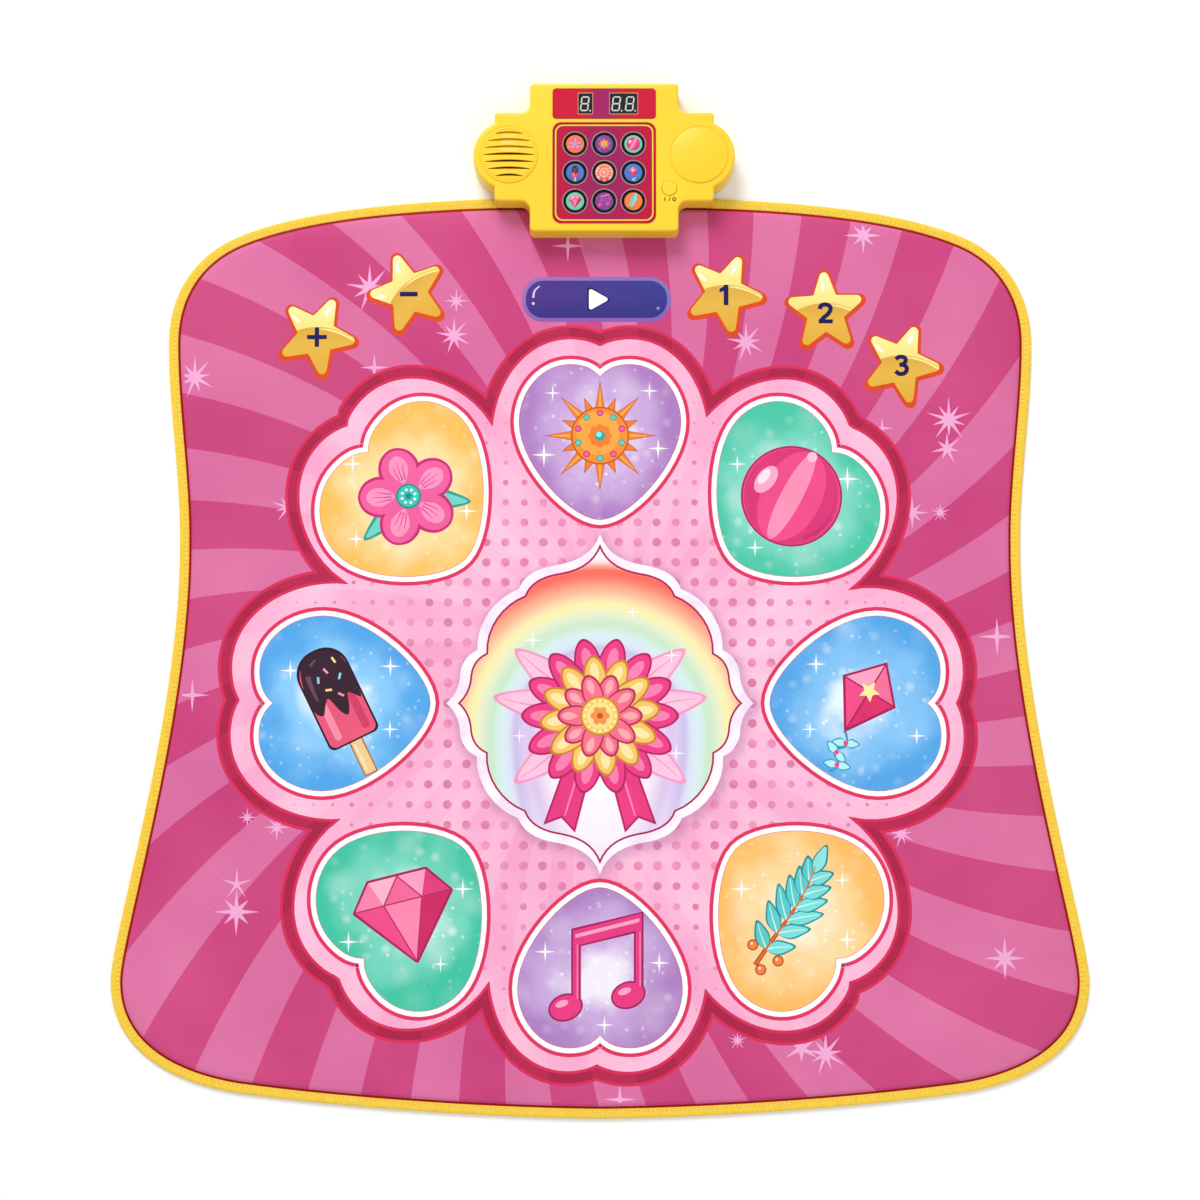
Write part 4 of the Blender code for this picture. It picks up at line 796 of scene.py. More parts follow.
def band_loop(growth, samples=26):
    """The flower that the grown lobes make together, as one loop with its sharp inner corners."""
    petals = []
    for direction, width, length, *place in LOBES:
        tip = on_circle((0.0, length), direction, *place)
        axis = math.atan2(tip[1] - CIRCLE[1], tip[0] - CIRCLE[0]) % math.tau
        halves = []
        for side in (1, -1):
            half = np.array([on_circle((side * x, y), direction, *place)
                             for x, y in heart_half(width, length)]) - np.array(CIRCLE)
            halves.append(half + side * growth * sideways(half))
        petals.append((axis, *halves))
    petals.sort(key=lambda petal: petal[0])
    corners = []
    for (axis, _, left), (after, right, _) in zip(petals, petals[1:] + petals[:1]):
        corners.append(meeting(left, right, axis, after + (math.tau if after < axis else 0.0)))
    loop = []
    for index, (axis, right, left) in enumerate(petals):
        start = corners[index - 1] - (math.tau if index == 0 else 0.0)
        for half, first, last in ((right, start, axis), (left, axis, corners[index])):
            for step in range(samples):
                angle = first + (last - first) * (step / samples + 1e-6)
                radius = reach_of(half, angle)
                loop.append((radius * math.cos(angle), radius * math.sin(angle)))
    return moved(loop, CIRCLE)


def medallion(share_x=1.0, share_y=1.0, steps=8):
    """The middle pad: four ogee points joined by shallow cusped lobes."""
    w = MEDALLION_HALF[0] * share_x
    h = MEDALLION_HALF[1] * share_y
    spans = (
        ((0.0, 1.0), (0.05, 0.87), (0.17, 0.83), (0.32, 0.81)),
        ((0.32, 0.81), (0.42, 0.79), (0.50, 0.75), (0.53, 0.674)),
        ((0.53, 0.674), (0.69, 0.62), (0.81, 0.47), (0.80, 0.313)),
        ((0.80, 0.313), (0.88, 0.28), (0.91, 0.22), (0.913, 0.153)),
        ((0.913, 0.153), (0.92, 0.09), (0.95, 0.04), (1.0, 0.0)),
    )
    quarter = [(x * w, y * h) for span in spans for x, y in bezier(*span, steps)]
    upper = [(w, 0.0), *reversed(quarter), *((-x, y) for x, y in quarter[1:]), (-w, 0.0)]
    return moved(upper + [(x, -y) for x, y in reversed(upper[1:-1])], CIRCLE)


def star(x, y, direction, sizes):
    """A star with round tips: the reach of its sharp tips and valleys, and the radii that round them."""
    corners = []
    for index in range(10):
        angle = math.radians(direction + 36 * index)
        reach, radius = sizes[index % 2], sizes[2 + index % 2]
        corners.append((x + reach * math.cos(angle), y + STAR_STRETCH * reach * math.sin(angle), radius))
    return rounded(corners, 6)


def console_outline(steps=8, lobe_steps=44):
    """The console from above: a block, a wide tab band and a round lobe at each end."""
    block, tab = BLOCK_WIDTH / 2, TAB_WIDTH / 2
    reach = tab - LOBE_OFFSET
    start = math.asin(math.sqrt(LOBE_RADIUS ** 2 - reach ** 2) / LOBE_RADIUS)
    lobe = []
    for index in range(lobe_steps + 1):
        angle = -start + 2 * start * index / lobe_steps
        lobe.append((LOBE_OFFSET + LOBE_RADIUS * math.cos(angle),
                     LOBE_Y + LOBE_RADIUS * math.sin(angle), 0.0))
    right = [
        (block, CONSOLE_FRONT_Y, 0.005), (block, TAB_FRONT_Y, 0.008), (tab, TAB_FRONT_Y, 0.005), *lobe,
        (tab, TAB_BACK_Y, 0.0034), (block, TAB_BACK_Y, 0.008), (block, CONSOLE_BACK_Y, 0.0034),
    ]
    corners = right + [(-x, y, radius) for x, y, radius in reversed(right)]
    return moved(rounded(corners, steps), (CONSOLE_X, 0.0))


def speaker_slot(index, width, steps=14):
    """One of the grille's arched slots; every width has the same back edge."""
    place = (index - (SLOT_COUNT - 1) / 2) * SLOT_PITCH
    half = math.sqrt(SLOT_FIELD_RADIUS ** 2 - place ** 2)
    lower, upper = [], []
    for step in range(steps + 1):
        t = 2 * step / steps - 1
        taper = 1 - 0.82 * t * t
        x = CONSOLE_X - LOBE_OFFSET + half * t
        high = LOBE_Y + place + SLOT_ARCH * (1 - t * t) + SLOT_WIDTH / 2 * taper
        lower.append((x, high - width * taper))
        upper.append((x, high))
    return lower + upper[::-1]


# Pieces.

def inside(spots, loop):
    """Which of many spots lie inside a loop."""
    first = np.array(loop, float)
    found = np.zeros(len(spots), bool)
    near = np.all((spots >= first.min(axis=0)) & (spots <= first.max(axis=0)), axis=1)
    x, y = spots[near, 0, None], spots[near, 1, None]
    last = np.roll(first, -1, axis=0)
    rise = last[:, 1] - first[:, 1]
    rise[rise == 0] = 1e-12
    crosses = (first[:, 1] > y) != (last[:, 1] > y)
    at = first[:, 0] + (y - first[:, 1]) / rise * (last[:, 0] - first[:, 0])
    found[near] = (crosses & (x < at)).sum(axis=1) % 2 == 1
    return found


def nearest(spots, others):
    """Each spot's distance from the nearest of the others."""
    found = np.full(len(spots), 9.0)
    for start in range(0, len(others), 400):
        block = others[start:start + 400]
        apart = np.hypot(spots[:, 0, None] - block[:, 0], spots[:, 1, None] - block[:, 1])
        found = np.minimum(found, apart.min(axis=1))
    return found


def lattice(left, right, front, back, pitch):
    return np.array([(x, y) for x in np.arange(left, right, pitch) for y in np.arange(front, back, pitch)])


def ring(loop, z):
    return [(x, y, z) for x, y in loop]


def joined(loops):
    """The points of several loops in one list, and their edges."""
    places, edges = [], []
    for loop in loops:
        first = len(places)
        places += [Vector(point) for point in loop]
        edges += [(first + i, first + (i + 1) % len(loop)) for i in range(len(loop))]
    return places, edges


def put(name, data):
    """A new object in the scene."""
    item = bpy.data.objects.new(name, data)
    bpy.context.scene.collection.objects.link(item)
    return item


def rework(mesh, weld=None):
    """Turn a mesh's faces outwards, after its points have been merged within a distance."""
    shape = bmesh.new()
    shape.from_mesh(mesh)
    if weld:
        bmesh.ops.remove_doubles(shape, verts=shape.verts, dist=weld)
    bmesh.ops.recalc_face_normals(shape, faces=shape.faces)
    shape.to_mesh(mesh)
    shape.free()


class Piece:
    """Points and faces gathered for one finished piece."""

    def __init__(self, name):
        self.name = name
        self.points = []
        self.faces = []
        self.marks = []
        self.finishes = []

    def add(self, points, faces, finish):
        """Faces of one finish, or with a list, each of its own."""
        each = finish if isinstance(finish, list) else [finish] * len(faces)
        for made in each:
            if made not in self.finishes:
                self.finishes.append(made)
        first = len(self.points)
        self.points += [tuple(point) for point in points]
        self.faces += [[first + i for i in face] for face in faces]
        self.marks += [self.finishes.index(made) for made in each]

    def band(self, rings, finish):
        """Closed strips between rings that all have as many points."""
        count = len(rings[0])
        faces = [(low + i, low + (i + 1) % count, low + count + (i + 1) % count, low + count + i)
                 for low in range(0, count * (len(rings) - 1), count) for i in range(count)]
        self.add([point for one in rings for point in one], faces, finish)

    def paint(self, outline, base, top, inks=(), holes=(), spots=()):
        """A printed face. Of the inks laid over a place, the last one shows. top is a height or
        a function of places that gives their heights."""
        places, edges = joined([outline, *holes, *(loop for loop, _ in inks)])
        places += [Vector(point) for point in spots]
        found, _, faces, _, _, _ = delaunay_2d_cdt(places, edges, [], 0, 1e-7)
        found = np.array([tuple(point) for point in found])
        faces = np.array(faces)
        centres = found[faces].mean(axis=1)
        keep = inside(centres, outline)
        for hole in holes:
            keep &= ~inside(centres, hole)
        faces, centres = faces[keep], centres[keep]
        choice = np.zeros(len(faces), int)
        for number, (loop, _) in enumerate(inks, 1):
            choice[inside(centres, loop)] = number
        finishes = [base, *(finish for _, finish in inks)]
        height = top(found) if callable(top) else np.full(len(found), top)
        self.add(np.column_stack((found, height)), faces.tolist(), [finishes[i] for i in choice])

    def plate(self, outline, base, bottom, top, inks=(), holes=(), spots=()):
        """A closed flat plate, printed on top."""
        self.paint(outline, base, top, inks, holes, spots)
        self.paint(outline, base, bottom, (), holes)
        for loop in (outline, *holes):
            height = top(np.array(loop)) if callable(top) else np.full(len(loop), top)
            self.band([ring(loop, bottom), [(x, y, z) for (x, y), z in zip(loop, height)]], base)

    def turned(self, profile, x, y, finish, steps=48):
        """A (radius, z) profile turned round a spot."""
        self.band([ring(circle(x, y, radius, steps), z) for radius, z in profile], finish)

    def button(self, profile, x, y, finish, steps=48):
        """A turned profile whose first and last rings are capped."""
        self.turned(profile, x, y, finish, steps)
        for radius, z in (profile[0], profile[-1]):
            fan = [(i, (i + 1) % steps, steps) for i in range(steps)]
            self.add([*ring(circle(x, y, radius, steps), z), (x, y, z)], fan, finish)

    def loose(self, tidy=True):
        """The object alone, its points merged and its faces turned outwards."""
        mesh = bpy.data.meshes.new(self.name)
        mesh.from_pydata(self.points, [], self.faces)
        for finish in self.finishes:
            mesh.materials.append(finish)
        mesh.polygons.foreach_set("material_index", self.marks)
        if tidy:
            rework(mesh, 2e-7)
        return put(self.name, mesh)

    def make(self, body=BODY, nodes=(), angle=35.0):
        """The finished object on its body."""
        return settle(self.loose(), body, nodes, angle)


def smooth(item, angle=35.0):
    """Smooth shading that breaks where faces meet at more than an angle."""
    item.data.shade_smooth()
    item.data.set_sharp_from_angle(angle=math.radians(angle))


def settle(item, body=BODY, nodes=(), angle=35.0):
    """Smooth a finished object and let it ride on its body."""
    smooth(item, angle)
    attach(item, body)
    if nodes:
        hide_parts(*nodes)
    return item


def prism(loop, bottom, top, finish):
    """A loose block for cutting or joining."""
    piece = Piece("block")
    piece.plate(loop, finish, bottom, top)
    return piece.loose()


def pins(spots, profile, finish):
    """A loose round pin of one (radius, z) profile at each spot."""
    made = []
    for spot in spots:
        piece = Piece("pin")
        piece.button(profile, *spot, finish, 24)
        made.append(piece.loose())
    return made


def combine(target, others, operation):
    """Cut or join solids into the target; the others are used up."""
    group = bpy.data.collections.new("shapes")
    bpy.context.scene.collection.children.link(group)
    for other in others:
        group.objects.link(other)
    modifier = target.modifiers.new("shape", "BOOLEAN")
    modifier.operation = operation
    modifier.solver = "EXACT"
    modifier.use_self = True
    modifier.operand_type = "COLLECTION"
    modifier.collection = group
    bake(target)
    for other in others:
        bpy.data.objects.remove(other, do_unlink=True)
    bpy.data.collections.remove(group)
    return target


def bake(item):
    """Turn what an item's modifiers make of it into its own plain mesh."""
    bpy.context.view_layer.update()
    shown = item.evaluated_get(bpy.context.evaluated_depsgraph_get())
    mesh = bpy.data.meshes.new_from_object(shown)
    item.modifiers.clear()
    item.data = mesh
    return item


def repeated(name, places, turns, size, finish, sides=6):
    """A small rounded form at every place, turned about Z; the repeats come from Geometry Nodes."""
    tree = bpy.data.node_groups.new(name + "_repeats", "GeometryNodeTree")
    sockets = {}
    for label, way, kind in (("Places", "INPUT", "Geometry"), ("Form size", "INPUT", "Vector"),
                             ("Finish", "INPUT", "Material"), ("Repeats", "OUTPUT", "Geometry")):
        sockets[label] = tree.interface.new_socket(name=label, in_out=way, socket_type="NodeSocket" + kind)
    kinds = ("NodeGroupInput", "NodeGroupOutput", "GeometryNodeMeshUVSphere",
             "GeometryNodeInputNamedAttribute", "GeometryNodeInstanceOnPoints",
             "GeometryNodeRealizeInstances", "GeometryNodeSetMaterial")
    entry, leave, ball, turn, spread, real, coat = (tree.nodes.new(kind) for kind in kinds)
    for key, value in (("Segments", sides), ("Rings", 4), ("Radius", 1.0)):
        ball.inputs[key].default_value = value
    turn.data_type = "FLOAT_VECTOR"
    turn.inputs["Name"].default_value = "turn"
    for source, output, target, entrance in (
            (entry, "Places", spread, "Points"), (ball, "Mesh", spread, "Instance"),
            (turn, "Attribute", spread, "Rotation"), (entry, "Form size", spread, "Scale"),
            (spread, "Instances", real, "Geometry"), (real, "Geometry", coat, "Geometry"),
            (entry, "Finish", coat, "Material"), (coat, "Geometry", leave, "Repeats")):
        tree.links.new(source.outputs[output], target.inputs[entrance])
    mesh = bpy.data.meshes.new(name)
    mesh.from_pydata(places, [], [])
    values = mesh.attributes.new("turn", "FLOAT_VECTOR", "POINT")
    values.data.foreach_set("vector", [value for angle in turns for value in (0.0, 0.0, angle)])
    item = put(name, mesh)
    modifier = item.modifiers.new("Repeats", "NODES")
    modifier.node_group = tree
    modifier[sockets["Form size"].identifier] = size
    modifier[sockets["Finish"].identifier] = finish
    bake(item)
    item.data.materials.clear()
    item.data.materials.append(finish)
    return item


# Drawings, in millimetres round their own middle. Each is a list of (loop, colour), lowest first.

def blade(reach, width, belly, shoulder, start=0.0):
    """A leaf or petal along X; its belly and shoulder are shares of its reach and width."""
    side = [(start + reach * along, width * out) for along, out in (belly, shoulder)]
    return flow([(start, 0.0), *((x, -y) for x, y in side), (start + reach, 0.0), *side[::-1]], 5)


def petal(reach, width, turn, start=0.0):
    return moved(blade(reach, width, (0.45, 0.5), (0.84, 0.40), start), (0.0, 0.0), turn)


def leaf(x, y, reach, width, turn):
    return moved(blade(reach, width, (0.35, 0.5), (0.75, 0.32)), (x, y), turn)


def drawn(points, width, code, tail=1.0, turn=0.0, spot=(0, 0), steps=6):
    """A drawn line in its colour."""
    return moved(stroke(points, width, tail, steps), spot, turn), code


def beads(radius, count, size, code, steps=12):
    """Round dots spread on a circle."""
    return [(circle(*spot, size, steps), code) for spot in circle(0, 0, radius, count)]


def discs(*rounds):
    """Round discs about the middle, each a radius and a colour."""
    return [(circle(0, 0, radius), code) for radius, code in rounds]


def halfway(start, end):
    return (start[0] + end[0]) / 2, (start[1] + end[1]) / 2


def area(loop):
    return sum(x * v - u * y for (x, y), (u, v) in zip(loop, loop[1:] + loop[:1])) / 2


def anticlockwise(loop):
    return loop if area(loop) > 0 else loop[::-1]


def flower():
    drawing = []
    for turn in (205, 335):
        for out, reach, width, code in ((8, 44, 17, "2E9E93"), (12, 37, 11, "6FD3C4")):
            root = (out * math.cos(math.radians(turn)), out * math.sin(math.radians(turn)))
            drawing.append((leaf(*root, reach, width, turn), code))
    turns = [90 + 72 * k for k in range(5)]
    drawing += [(petal(42, 33, turn), "C92C78") for turn in turns]
    for turn in turns:
        drawing += [(petal(37.5, 28, turn, 2.5), "F0609F"), (petal(24, 15, turn, 11), "FF94C0")]
        drawing += [drawn([(14, 0), (22, 0.4), (30 - abs(lean) * 0.3, 0)], 1.1, "D83E87", 0.3, turn + lean,
                          steps=3) for lean in (-9, 0, 9)]
    drawing += discs((10.5, "1F8F88"), (9, "3FC4B6")) + beads(5.6, 8, 1.3, "D9FBF2")
    return drawing + [(circle(0, 0, 2.6, 20), "1F8F88")]


def sun():
    drawing = [(spark(0, 0, 45, 16, 0.47), "B9561B"), (spark(0, 0, 42.5, 16, 0.46), "F3802B")]
    for k in range(16):
        bend, end = (21, 24) if k % 2 else (28, 38)
        drawing.append(drawn([(19, 0), (bend, 0), (end, 0)], 2.6, "FBB04F", 0.15, 90 + 22.5 * k, steps=2))
    drawing += [*discs((23.5, "C9601C"), (22, "F98F34")), (circle(-1.5, 2, 17.5), "FBA646")]
    for k in range(10):
        angle = math.radians(36 * k + 18)
        spot = (18.3 * math.cos(angle), 18.3 * math.sin(angle))
        dark, light = ("1F8C86", "58D3C2") if k % 2 else ("B02A66", "F0609F")
        drawing += [(circle(*spot, 2.7, 16), dark), (circle(*spot, 2.0, 16), light)]
    drawing += [(petal(9.5, 6.5, 45 * k), "F47F2A") for k in range(8)]
    return drawing + [(circle(0, 0, 4.2, 24), "2FA79E"), (circle(-0.8, 1.0, 2.3, 16), "8BE8DA")]


def ball():
    drawing = [(circle(0, 0, 42, 72), "B5255F"), (circle(0, 0, 40.3, 72), "EE4C88")]
    steps = [math.radians(-90 + 180 * k / 24) for k in range(25)]
    for near, far, code in ((-0.98, -0.62, "D93678"), (-0.22, 0.22, "F990B6"), (0.62, 0.98, "D93678")):
        loop = [(far * 40 * math.cos(a), 40 * math.sin(a)) for a in steps]
        loop += [(near * 40 * math.cos(a), 40 * math.sin(a)) for a in reversed(steps[1:-1])]
        drawing.append((moved(loop, (0, 0), -28), code))
    drawing += [(circle(17.4, 32.6, 4.2, 24), "FBC3D8"), (ellipse(-21, 14, 7.5, 13, -38), "FBA9C8"),
                (ellipse(-22.5, 16.5, 3.6, 7.4, -38), "FFE2EE")]
    shaded = [(36 * math.cos(math.radians(a)), 36 * math.sin(math.radians(a))) for a in range(-75, 6, 8)]
    return drawing + [drawn(shaded, 3.0, "C92C6C", 0.2, steps=3)]


def kite():
    top, right, low, left = (0, 42), (27, 12), (0, -30), (-27, 12)
    middle = (0, 12)
    drawing = [drawn([(0, -28), (8, -38), (1, -48), (11, -57), (6, -66)], 1.8, "1F93B4", 0.7)]
    for x, y, turn in ((6.2, -37, 25), (3.4, -48, -20), (9.4, -57, 20)):
        for side in (turn, turn + 180):
            drawing += [(leaf(x, y, 12.5, 8.5, side), "2FA3C4"), (leaf(x, y, 11, 6, side), "B9F1F3")]
        drawing.append((circle(x, y, 2.2, 14), "EE4C88"))
    drawing.append((rounded([(*spot, 1.5) for spot in (low, right, top, left)], 3), "A81F55"))
    inner = [(0, 39), (24.3, 12), (0, -26), (-24.3, 12)]
    for index, code in enumerate(("F5709B", "DD2F6C", "EE4C88", "FBA0BF")):
        drawing.append(([middle, inner[(index + 1) % 4], inner[index]], code))
    drawing += [drawn([middle, halfway(middle, end), end], 1.5, "A81F55", 0.8, steps=2)
                for end in (top, low, left, right)]
    return drawing + [(spark(*middle, 9.5, 5, 4.4 / 9.5), "FFE9A0")]


def sprig():
    spine = flow([(-26, -46), (-16, -26), (-4, -4), (6, 18), (12, 40)], 8, closed=False)
    drawing = [drawn(spine[::4], 4.2, "A8451F", 0.4, steps=3)]
    for k, share in enumerate((0.20, 0.33, 0.46, 0.59, 0.72, 0.85)):
        x, y = spine[round(share * (len(spine) - 1))]
        reach = 31 - abs(k - 2) * 3.2
        rib = [(1, 0), (reach * 0.45, 0.5), (reach * 0.85, 0)]
        for side, code in ((1, "5CCBCB"), (-1, "7CDCD8")):
            turn = 64 + side * (52 - 3 * k)
            drawing += [(leaf(x, y, reach, 12.5, turn), "1F8F97"), (leaf(x, y, reach - 2.2, 10, turn), code),
                        drawn(rib, 1.2, "D6F7F2", 0.3, turn, (x, y), 3)]
    x, y = spine[-1]
    drawing += [(leaf(x, y - 6, 26, 12, 74), "1F8F97"), (leaf(x, y - 5, 23, 9.4, 74), "8FE6E0"),
                drawn(spine[::4], 2.2, "E0692E", 0.4, steps=3)]
    for x, y in ((-30, -30), (-8, -40), (-21, -49)):
        drawing += [(circle(x, y, 4.6, 24), "A8451F"), (circle(x, y, 3.6, 24), "F0803A"),
                    (circle(x - 1, y + 1, 1.2, 12), "FFD9A8")]
    return drawing


def notes():
    drawing = []
    for grow, code in ((1.5, "9E1F5C"), (0.0, "E63A82")):
        beam = [(-22 - grow, 22 - grow), (34 + grow, 36 - grow), (34 + grow, 49 + grow),
                (-22 - grow, 35 + grow)]
        stems = [bar(x, y, 5 + 2 * grow, 62 + grow) for x, y in ((-19.5, 3), (31.5, 13))]
        heads = [ellipse(x, y, 13 + grow, 9.5 + grow, 20) for x, y in ((-28, -27), (23, -17))]
        drawing += [(loop, code) for loop in (beam, *stems, *heads)]
    drawing.append(([(-20, 29), (32, 42), (32, 45), (-20, 32)], "FBA0C4"))
    drawing += [(ellipse(x, y, 5.5, 2.6, 20), "FBA0C4") for x, y in ((-31, -24), (20, -14))]
    return drawing + [(bar(x, y, 1.1, 44), "F77FAF") for x, y in ((-18.4, 2), (32.6, 12))]


def jewel():
    outline = [(-42.5, 9.5, 2), (0, -42.5, 2), (42.5, 9.5, 2), (25, 33, 2), (-25, 33, 2)]
    foot = (0, -40)
    a, b, c, d = [(x, 10) for x in (-40, -16, 16, 40)]
    e, f, g = [(x, 31) for x in (-24, 0, 24)]
    facets = (((a, b, e), "F884AC"), ((b, f, e), "FFB6CF"), ((b, c, f), "F4689A"), ((c, g, f), "FF9FC1"),
              ((c, d, g), "E23F7C"), ((foot, b, a), "EE4C88"), ((foot, c, b), "FA86AE"),
              ((foot, d, c), "CC2A66"))
    drawing = [(rounded(outline, 3), "A81F55")]
    drawing += [(anticlockwise(list(loop)), code) for loop, code in facets]
    return drawing + [drawn([start, halfway(start, end), end], 1.1, "B82861", steps=2)
                      for start, end in ((a, d), (b, foot), (c, foot), (b, f), (c, f))]


def lolly():
    body = [(-19, -30, 5), (19, -30, 5), (19, 42, 18.5), (-19, 42, 18.5)]
    drawing = [(bar(0, -42, 11, 34), "A8743A"), (bar(0, -42, 8.6, 32), "F0C88E"),
               (bar(-2, -44, 1.6, 22), "FBE3B8"),
               (rounded([(x * 1.08, y * 1.045, radius) for x, y, radius in body], 8), "2A1626"),
               (rounded(body, 8), "E9587C")]
    for left, right, radius, code in ((-13.5, -8, 3, "F88FA6"), (9, 15, 2, "D23E66")):
        groove = [(left, -26, radius), (right, -26, radius), (right, 10, radius), (left, 10, radius)]
        drawing.append((rounded(groove, 4), code))
    drip = [(-19, 20), (-19, 2), (-14, -4), (-9.5, 2), (-5, 6), (-1, -6), (3.5, -11), (7.5, -4), (10, 4),
            (14, 1), (18, -3), (19, 4), (19, 24), (13, 38), (0, 42), (-13, 38)]
    drawing += [(flow(drip, 5), "38212F"), drawn([(-12, 28), (-13, 18), (-13, 8)], 4.2, "6B4658", 0.4),
                drawn([(-7, 34), (-4, 36), (-1, 36.6)], 2.2, "6B4658", 0.5)]
    pink, blue, yellow = "F590B4", "7FD8E8", "FFE08A"
    return drawing + [(bar(x, y, 1.7, 5.0, turn), code) for x, y, turn, code in (
        (2, 26, 20, pink), (10, 18, -40, blue), (-2, 12, 70, yellow), (11, 31, 10, yellow),
        (5, 5, 40, pink), (-6, 22, -20, blue))]


def rosette():
    drawing = []
    for turn in (38, 142, 218, 322, 10, 170):
        drawing += [(leaf(0, 0, 96, 34, turn), "F59AC4"), (leaf(0, 0, 92, 29, turn), "FBC3DC"),
                    drawn([(40, 0), (66, 1.2), (88, 0)], 1.6, "F08DBB", 0.3, turn, steps=4)]
    for side in (-1, 1):
        tail = [(0, -20), (side * 20, -12), (side * 50, -96), (side * 34, -90), (side * 22, -103)]
        tail = anticlockwise(tail)
        drawing += [(tail, "B8205F"), (inset(tail, 1.8), "E83C82"),
                    drawn([(side * 13, -30), (side * 23, -62), (side * 31, -88)], 2.4, "F77FAF", 0.6)]
    for count, reach, width, start, dark, fill, pale in (
            (14, 70, 25, 0, "B8205F", "EA3F86", "F77FB0"), (12, 54, 21, 7, "C98332", "F9C566", "FFE6A6"),
            (10, 38, 18, 0, "B8305A", "F5708C", "FDA9AE")):
        for k in (*range(0, count, 2), *range(1, count, 2)):
            turn = 360 * k / count + start
            drawing += [(petal(reach, width, turn), dark), (petal(reach - 2.2, width - 3, turn), fill),
                        (petal(reach * 0.36, width * 0.36, turn, reach * 0.52), pale)]
    drawing += discs((17.5, "C8862A"), (15.8, "FFCC69"), (11.5, "FFDF90")) + beads(13.6, 16, 1.1, "FFF4C8")
    drawing += [(petal(8.6, 6.0, 60 * k), "F2954A") for k in range(6)]
    return drawing + [(circle(0, 0, 2.6, 20), "C8522A")]


def glints(places):
    """White four-pointed glints at (x, y, reach)."""
    return [(spark(x, y, reach), "FFFFFF") for x, y, reach in places]


def print_of(drawing, centre, turn=0.0, size=0.001):
    return [(moved(loop, centre, turn, size), ink(code)) for loop, code in drawing]


# For each heart: its drawing, the drawing's turn and size, the field's edge, middle and bright
# colours, and its glints.
FIELDS = {
    "pad_back": (sun, 0, 1.16, ("AC7CBE", "C8A6D9", "F2EAF8"),
                 ((-52, -18, 12), (54, -12, 10), (-44, 40, 8), (46, 42, 9))),
    "pad_back_right": (ball, 0, 1.12, ("48C4A4", "82D6C4", "DDF5EF"),
                       ((52, 16, 12), (-50, 30, 9), (-34, -48, 9))),
    "pad_right": (kite, -32, 1.06, ("54A4E4", "84C2F2", "E6F4FE"),
                  ((-42, 36, 10), (50, -30, 9), (-48, -24, 8))),
    "pad_front_right": (sprig, -8, 1.12, ("FCBA62", "FBD79C", "FDF5E2"),
                        ((-48, 22, 11), (48, -24, 10), (44, 30, 8))),
    "pad_front": (notes, 0, 1.12, ("AC7EBE", "C8A8DA", "F2EAF8"),
                  ((-50, 20, 10), (54, 10, 10), (4, -46, 9))),
    "pad_front_left": (jewel, 14, 1.12, ("40C2A2", "78D4BE", "DDF5EE"),
                       ((-52, -26, 10), (52, 22, 10), (32, -46, 8))),
    "pad_left": (lolly, 26, 1.22, ("50A4E6", "88C8F6", "E8F6FF"),
                 ((-44, 30, 10), (48, 34, 10), (48, -24, 9))),
    "pad_back_left": (flower, 20, 1.12, ("FDBE5E", "FDDC9E", "FFF8E6"),
                      ((-52, 30, 10), (54, -14, 10), (-48, -40, 9))),
}
CENTRE_GLINTS = ((-62, 58, 9), (66, 44, 8), (-74, -30, 7), (70, -46, 9), (30, 84, 7))

# For each of the console's nine round prints, in rows from the back: its drawing and two colours.
ORANGE, VIOLET, GREEN = ("F27C38", "F79450"), ("7C4298", "9259AC"), ("74C4A6", "98D8C0")
BLUE, PEACH = ("4A72C0", "6C92D6"), ("F5A264", "FAC088")
LENSES = ((flower, ORANGE), (sun, VIOLET), (ball, GREEN), (lolly, BLUE), (rosette, PEACH), (kite, BLUE),
          (jewel, GREEN), (notes, VIOLET), (sprig, ORANGE))


def glyph(sign):
    """A bold sign or numeral about 22 mm high."""
    wide = 4.6
    if sign == "+":
        return [bar(0, 0, 21, wide), bar(0, 0, wide, 21)]
    if sign == "-":
        return [bar(0, 0, 19, wide + 0.4)]
    if sign == "1":
        return [bar(1.5, 0, wide + 0.4, 22), [(1.5, 11), (-5.5, 6.6), (-5.5, 2.6), (1.5, 5.4)]]
    if sign == "2":
        arch = [(-6.0, 4.2), (-5.2, 7.4), (-2.0, 9.1), (1.8, 8.9), (4.9, 6.6), (4.9, 2.8), (2.2, -1.2),
                (-2.2, -5.0), (-5.4, -8.6)]
        return [stroke(arch, wide), bar(0, -8.9, 15, wide - 0.2)]
    upper = [(-5.8, 6.4), (-3.2, 8.9), (0.6, 9.2), (4.0, 7.6), (4.2, 4.0), (1.4, 1.4), (-2.2, 0.6)]
    lower = [(-2.2, 0.8), (2.4, 0.4), (5.4, -2.6), (4.6, -6.8), (1.0, -9.0), (-3.2, -8.7), (-6.2, -6.0)]
    return [stroke(upper, wide - 0.2), stroke(lower, wide)]


def segments():
    """The seven strokes of a digit, in millimetres."""
    half, half_w, half_h, gap = 0.625, 3.3, 6.4, 0.2
    loops = []
    across = half_w - half - gap
    for y in (half_h, 0.0, -half_h):
        loops.append([(-across - half, y), (-across, y - half), (across, y - half), (across + half, y),
                      (across, y + half), (-across, y + half)])
    up = half_h / 2 - half - gap
    for x in (-half_w, half_w):
        for y in (half_h / 2, -half_h / 2):
            loops.append([(x, y - up - half), (x + half, y - up), (x + half, y + up), (x, y + up + half),
                          (x - half, y + up), (x - half, y - up)])
    return loops


# The mat.

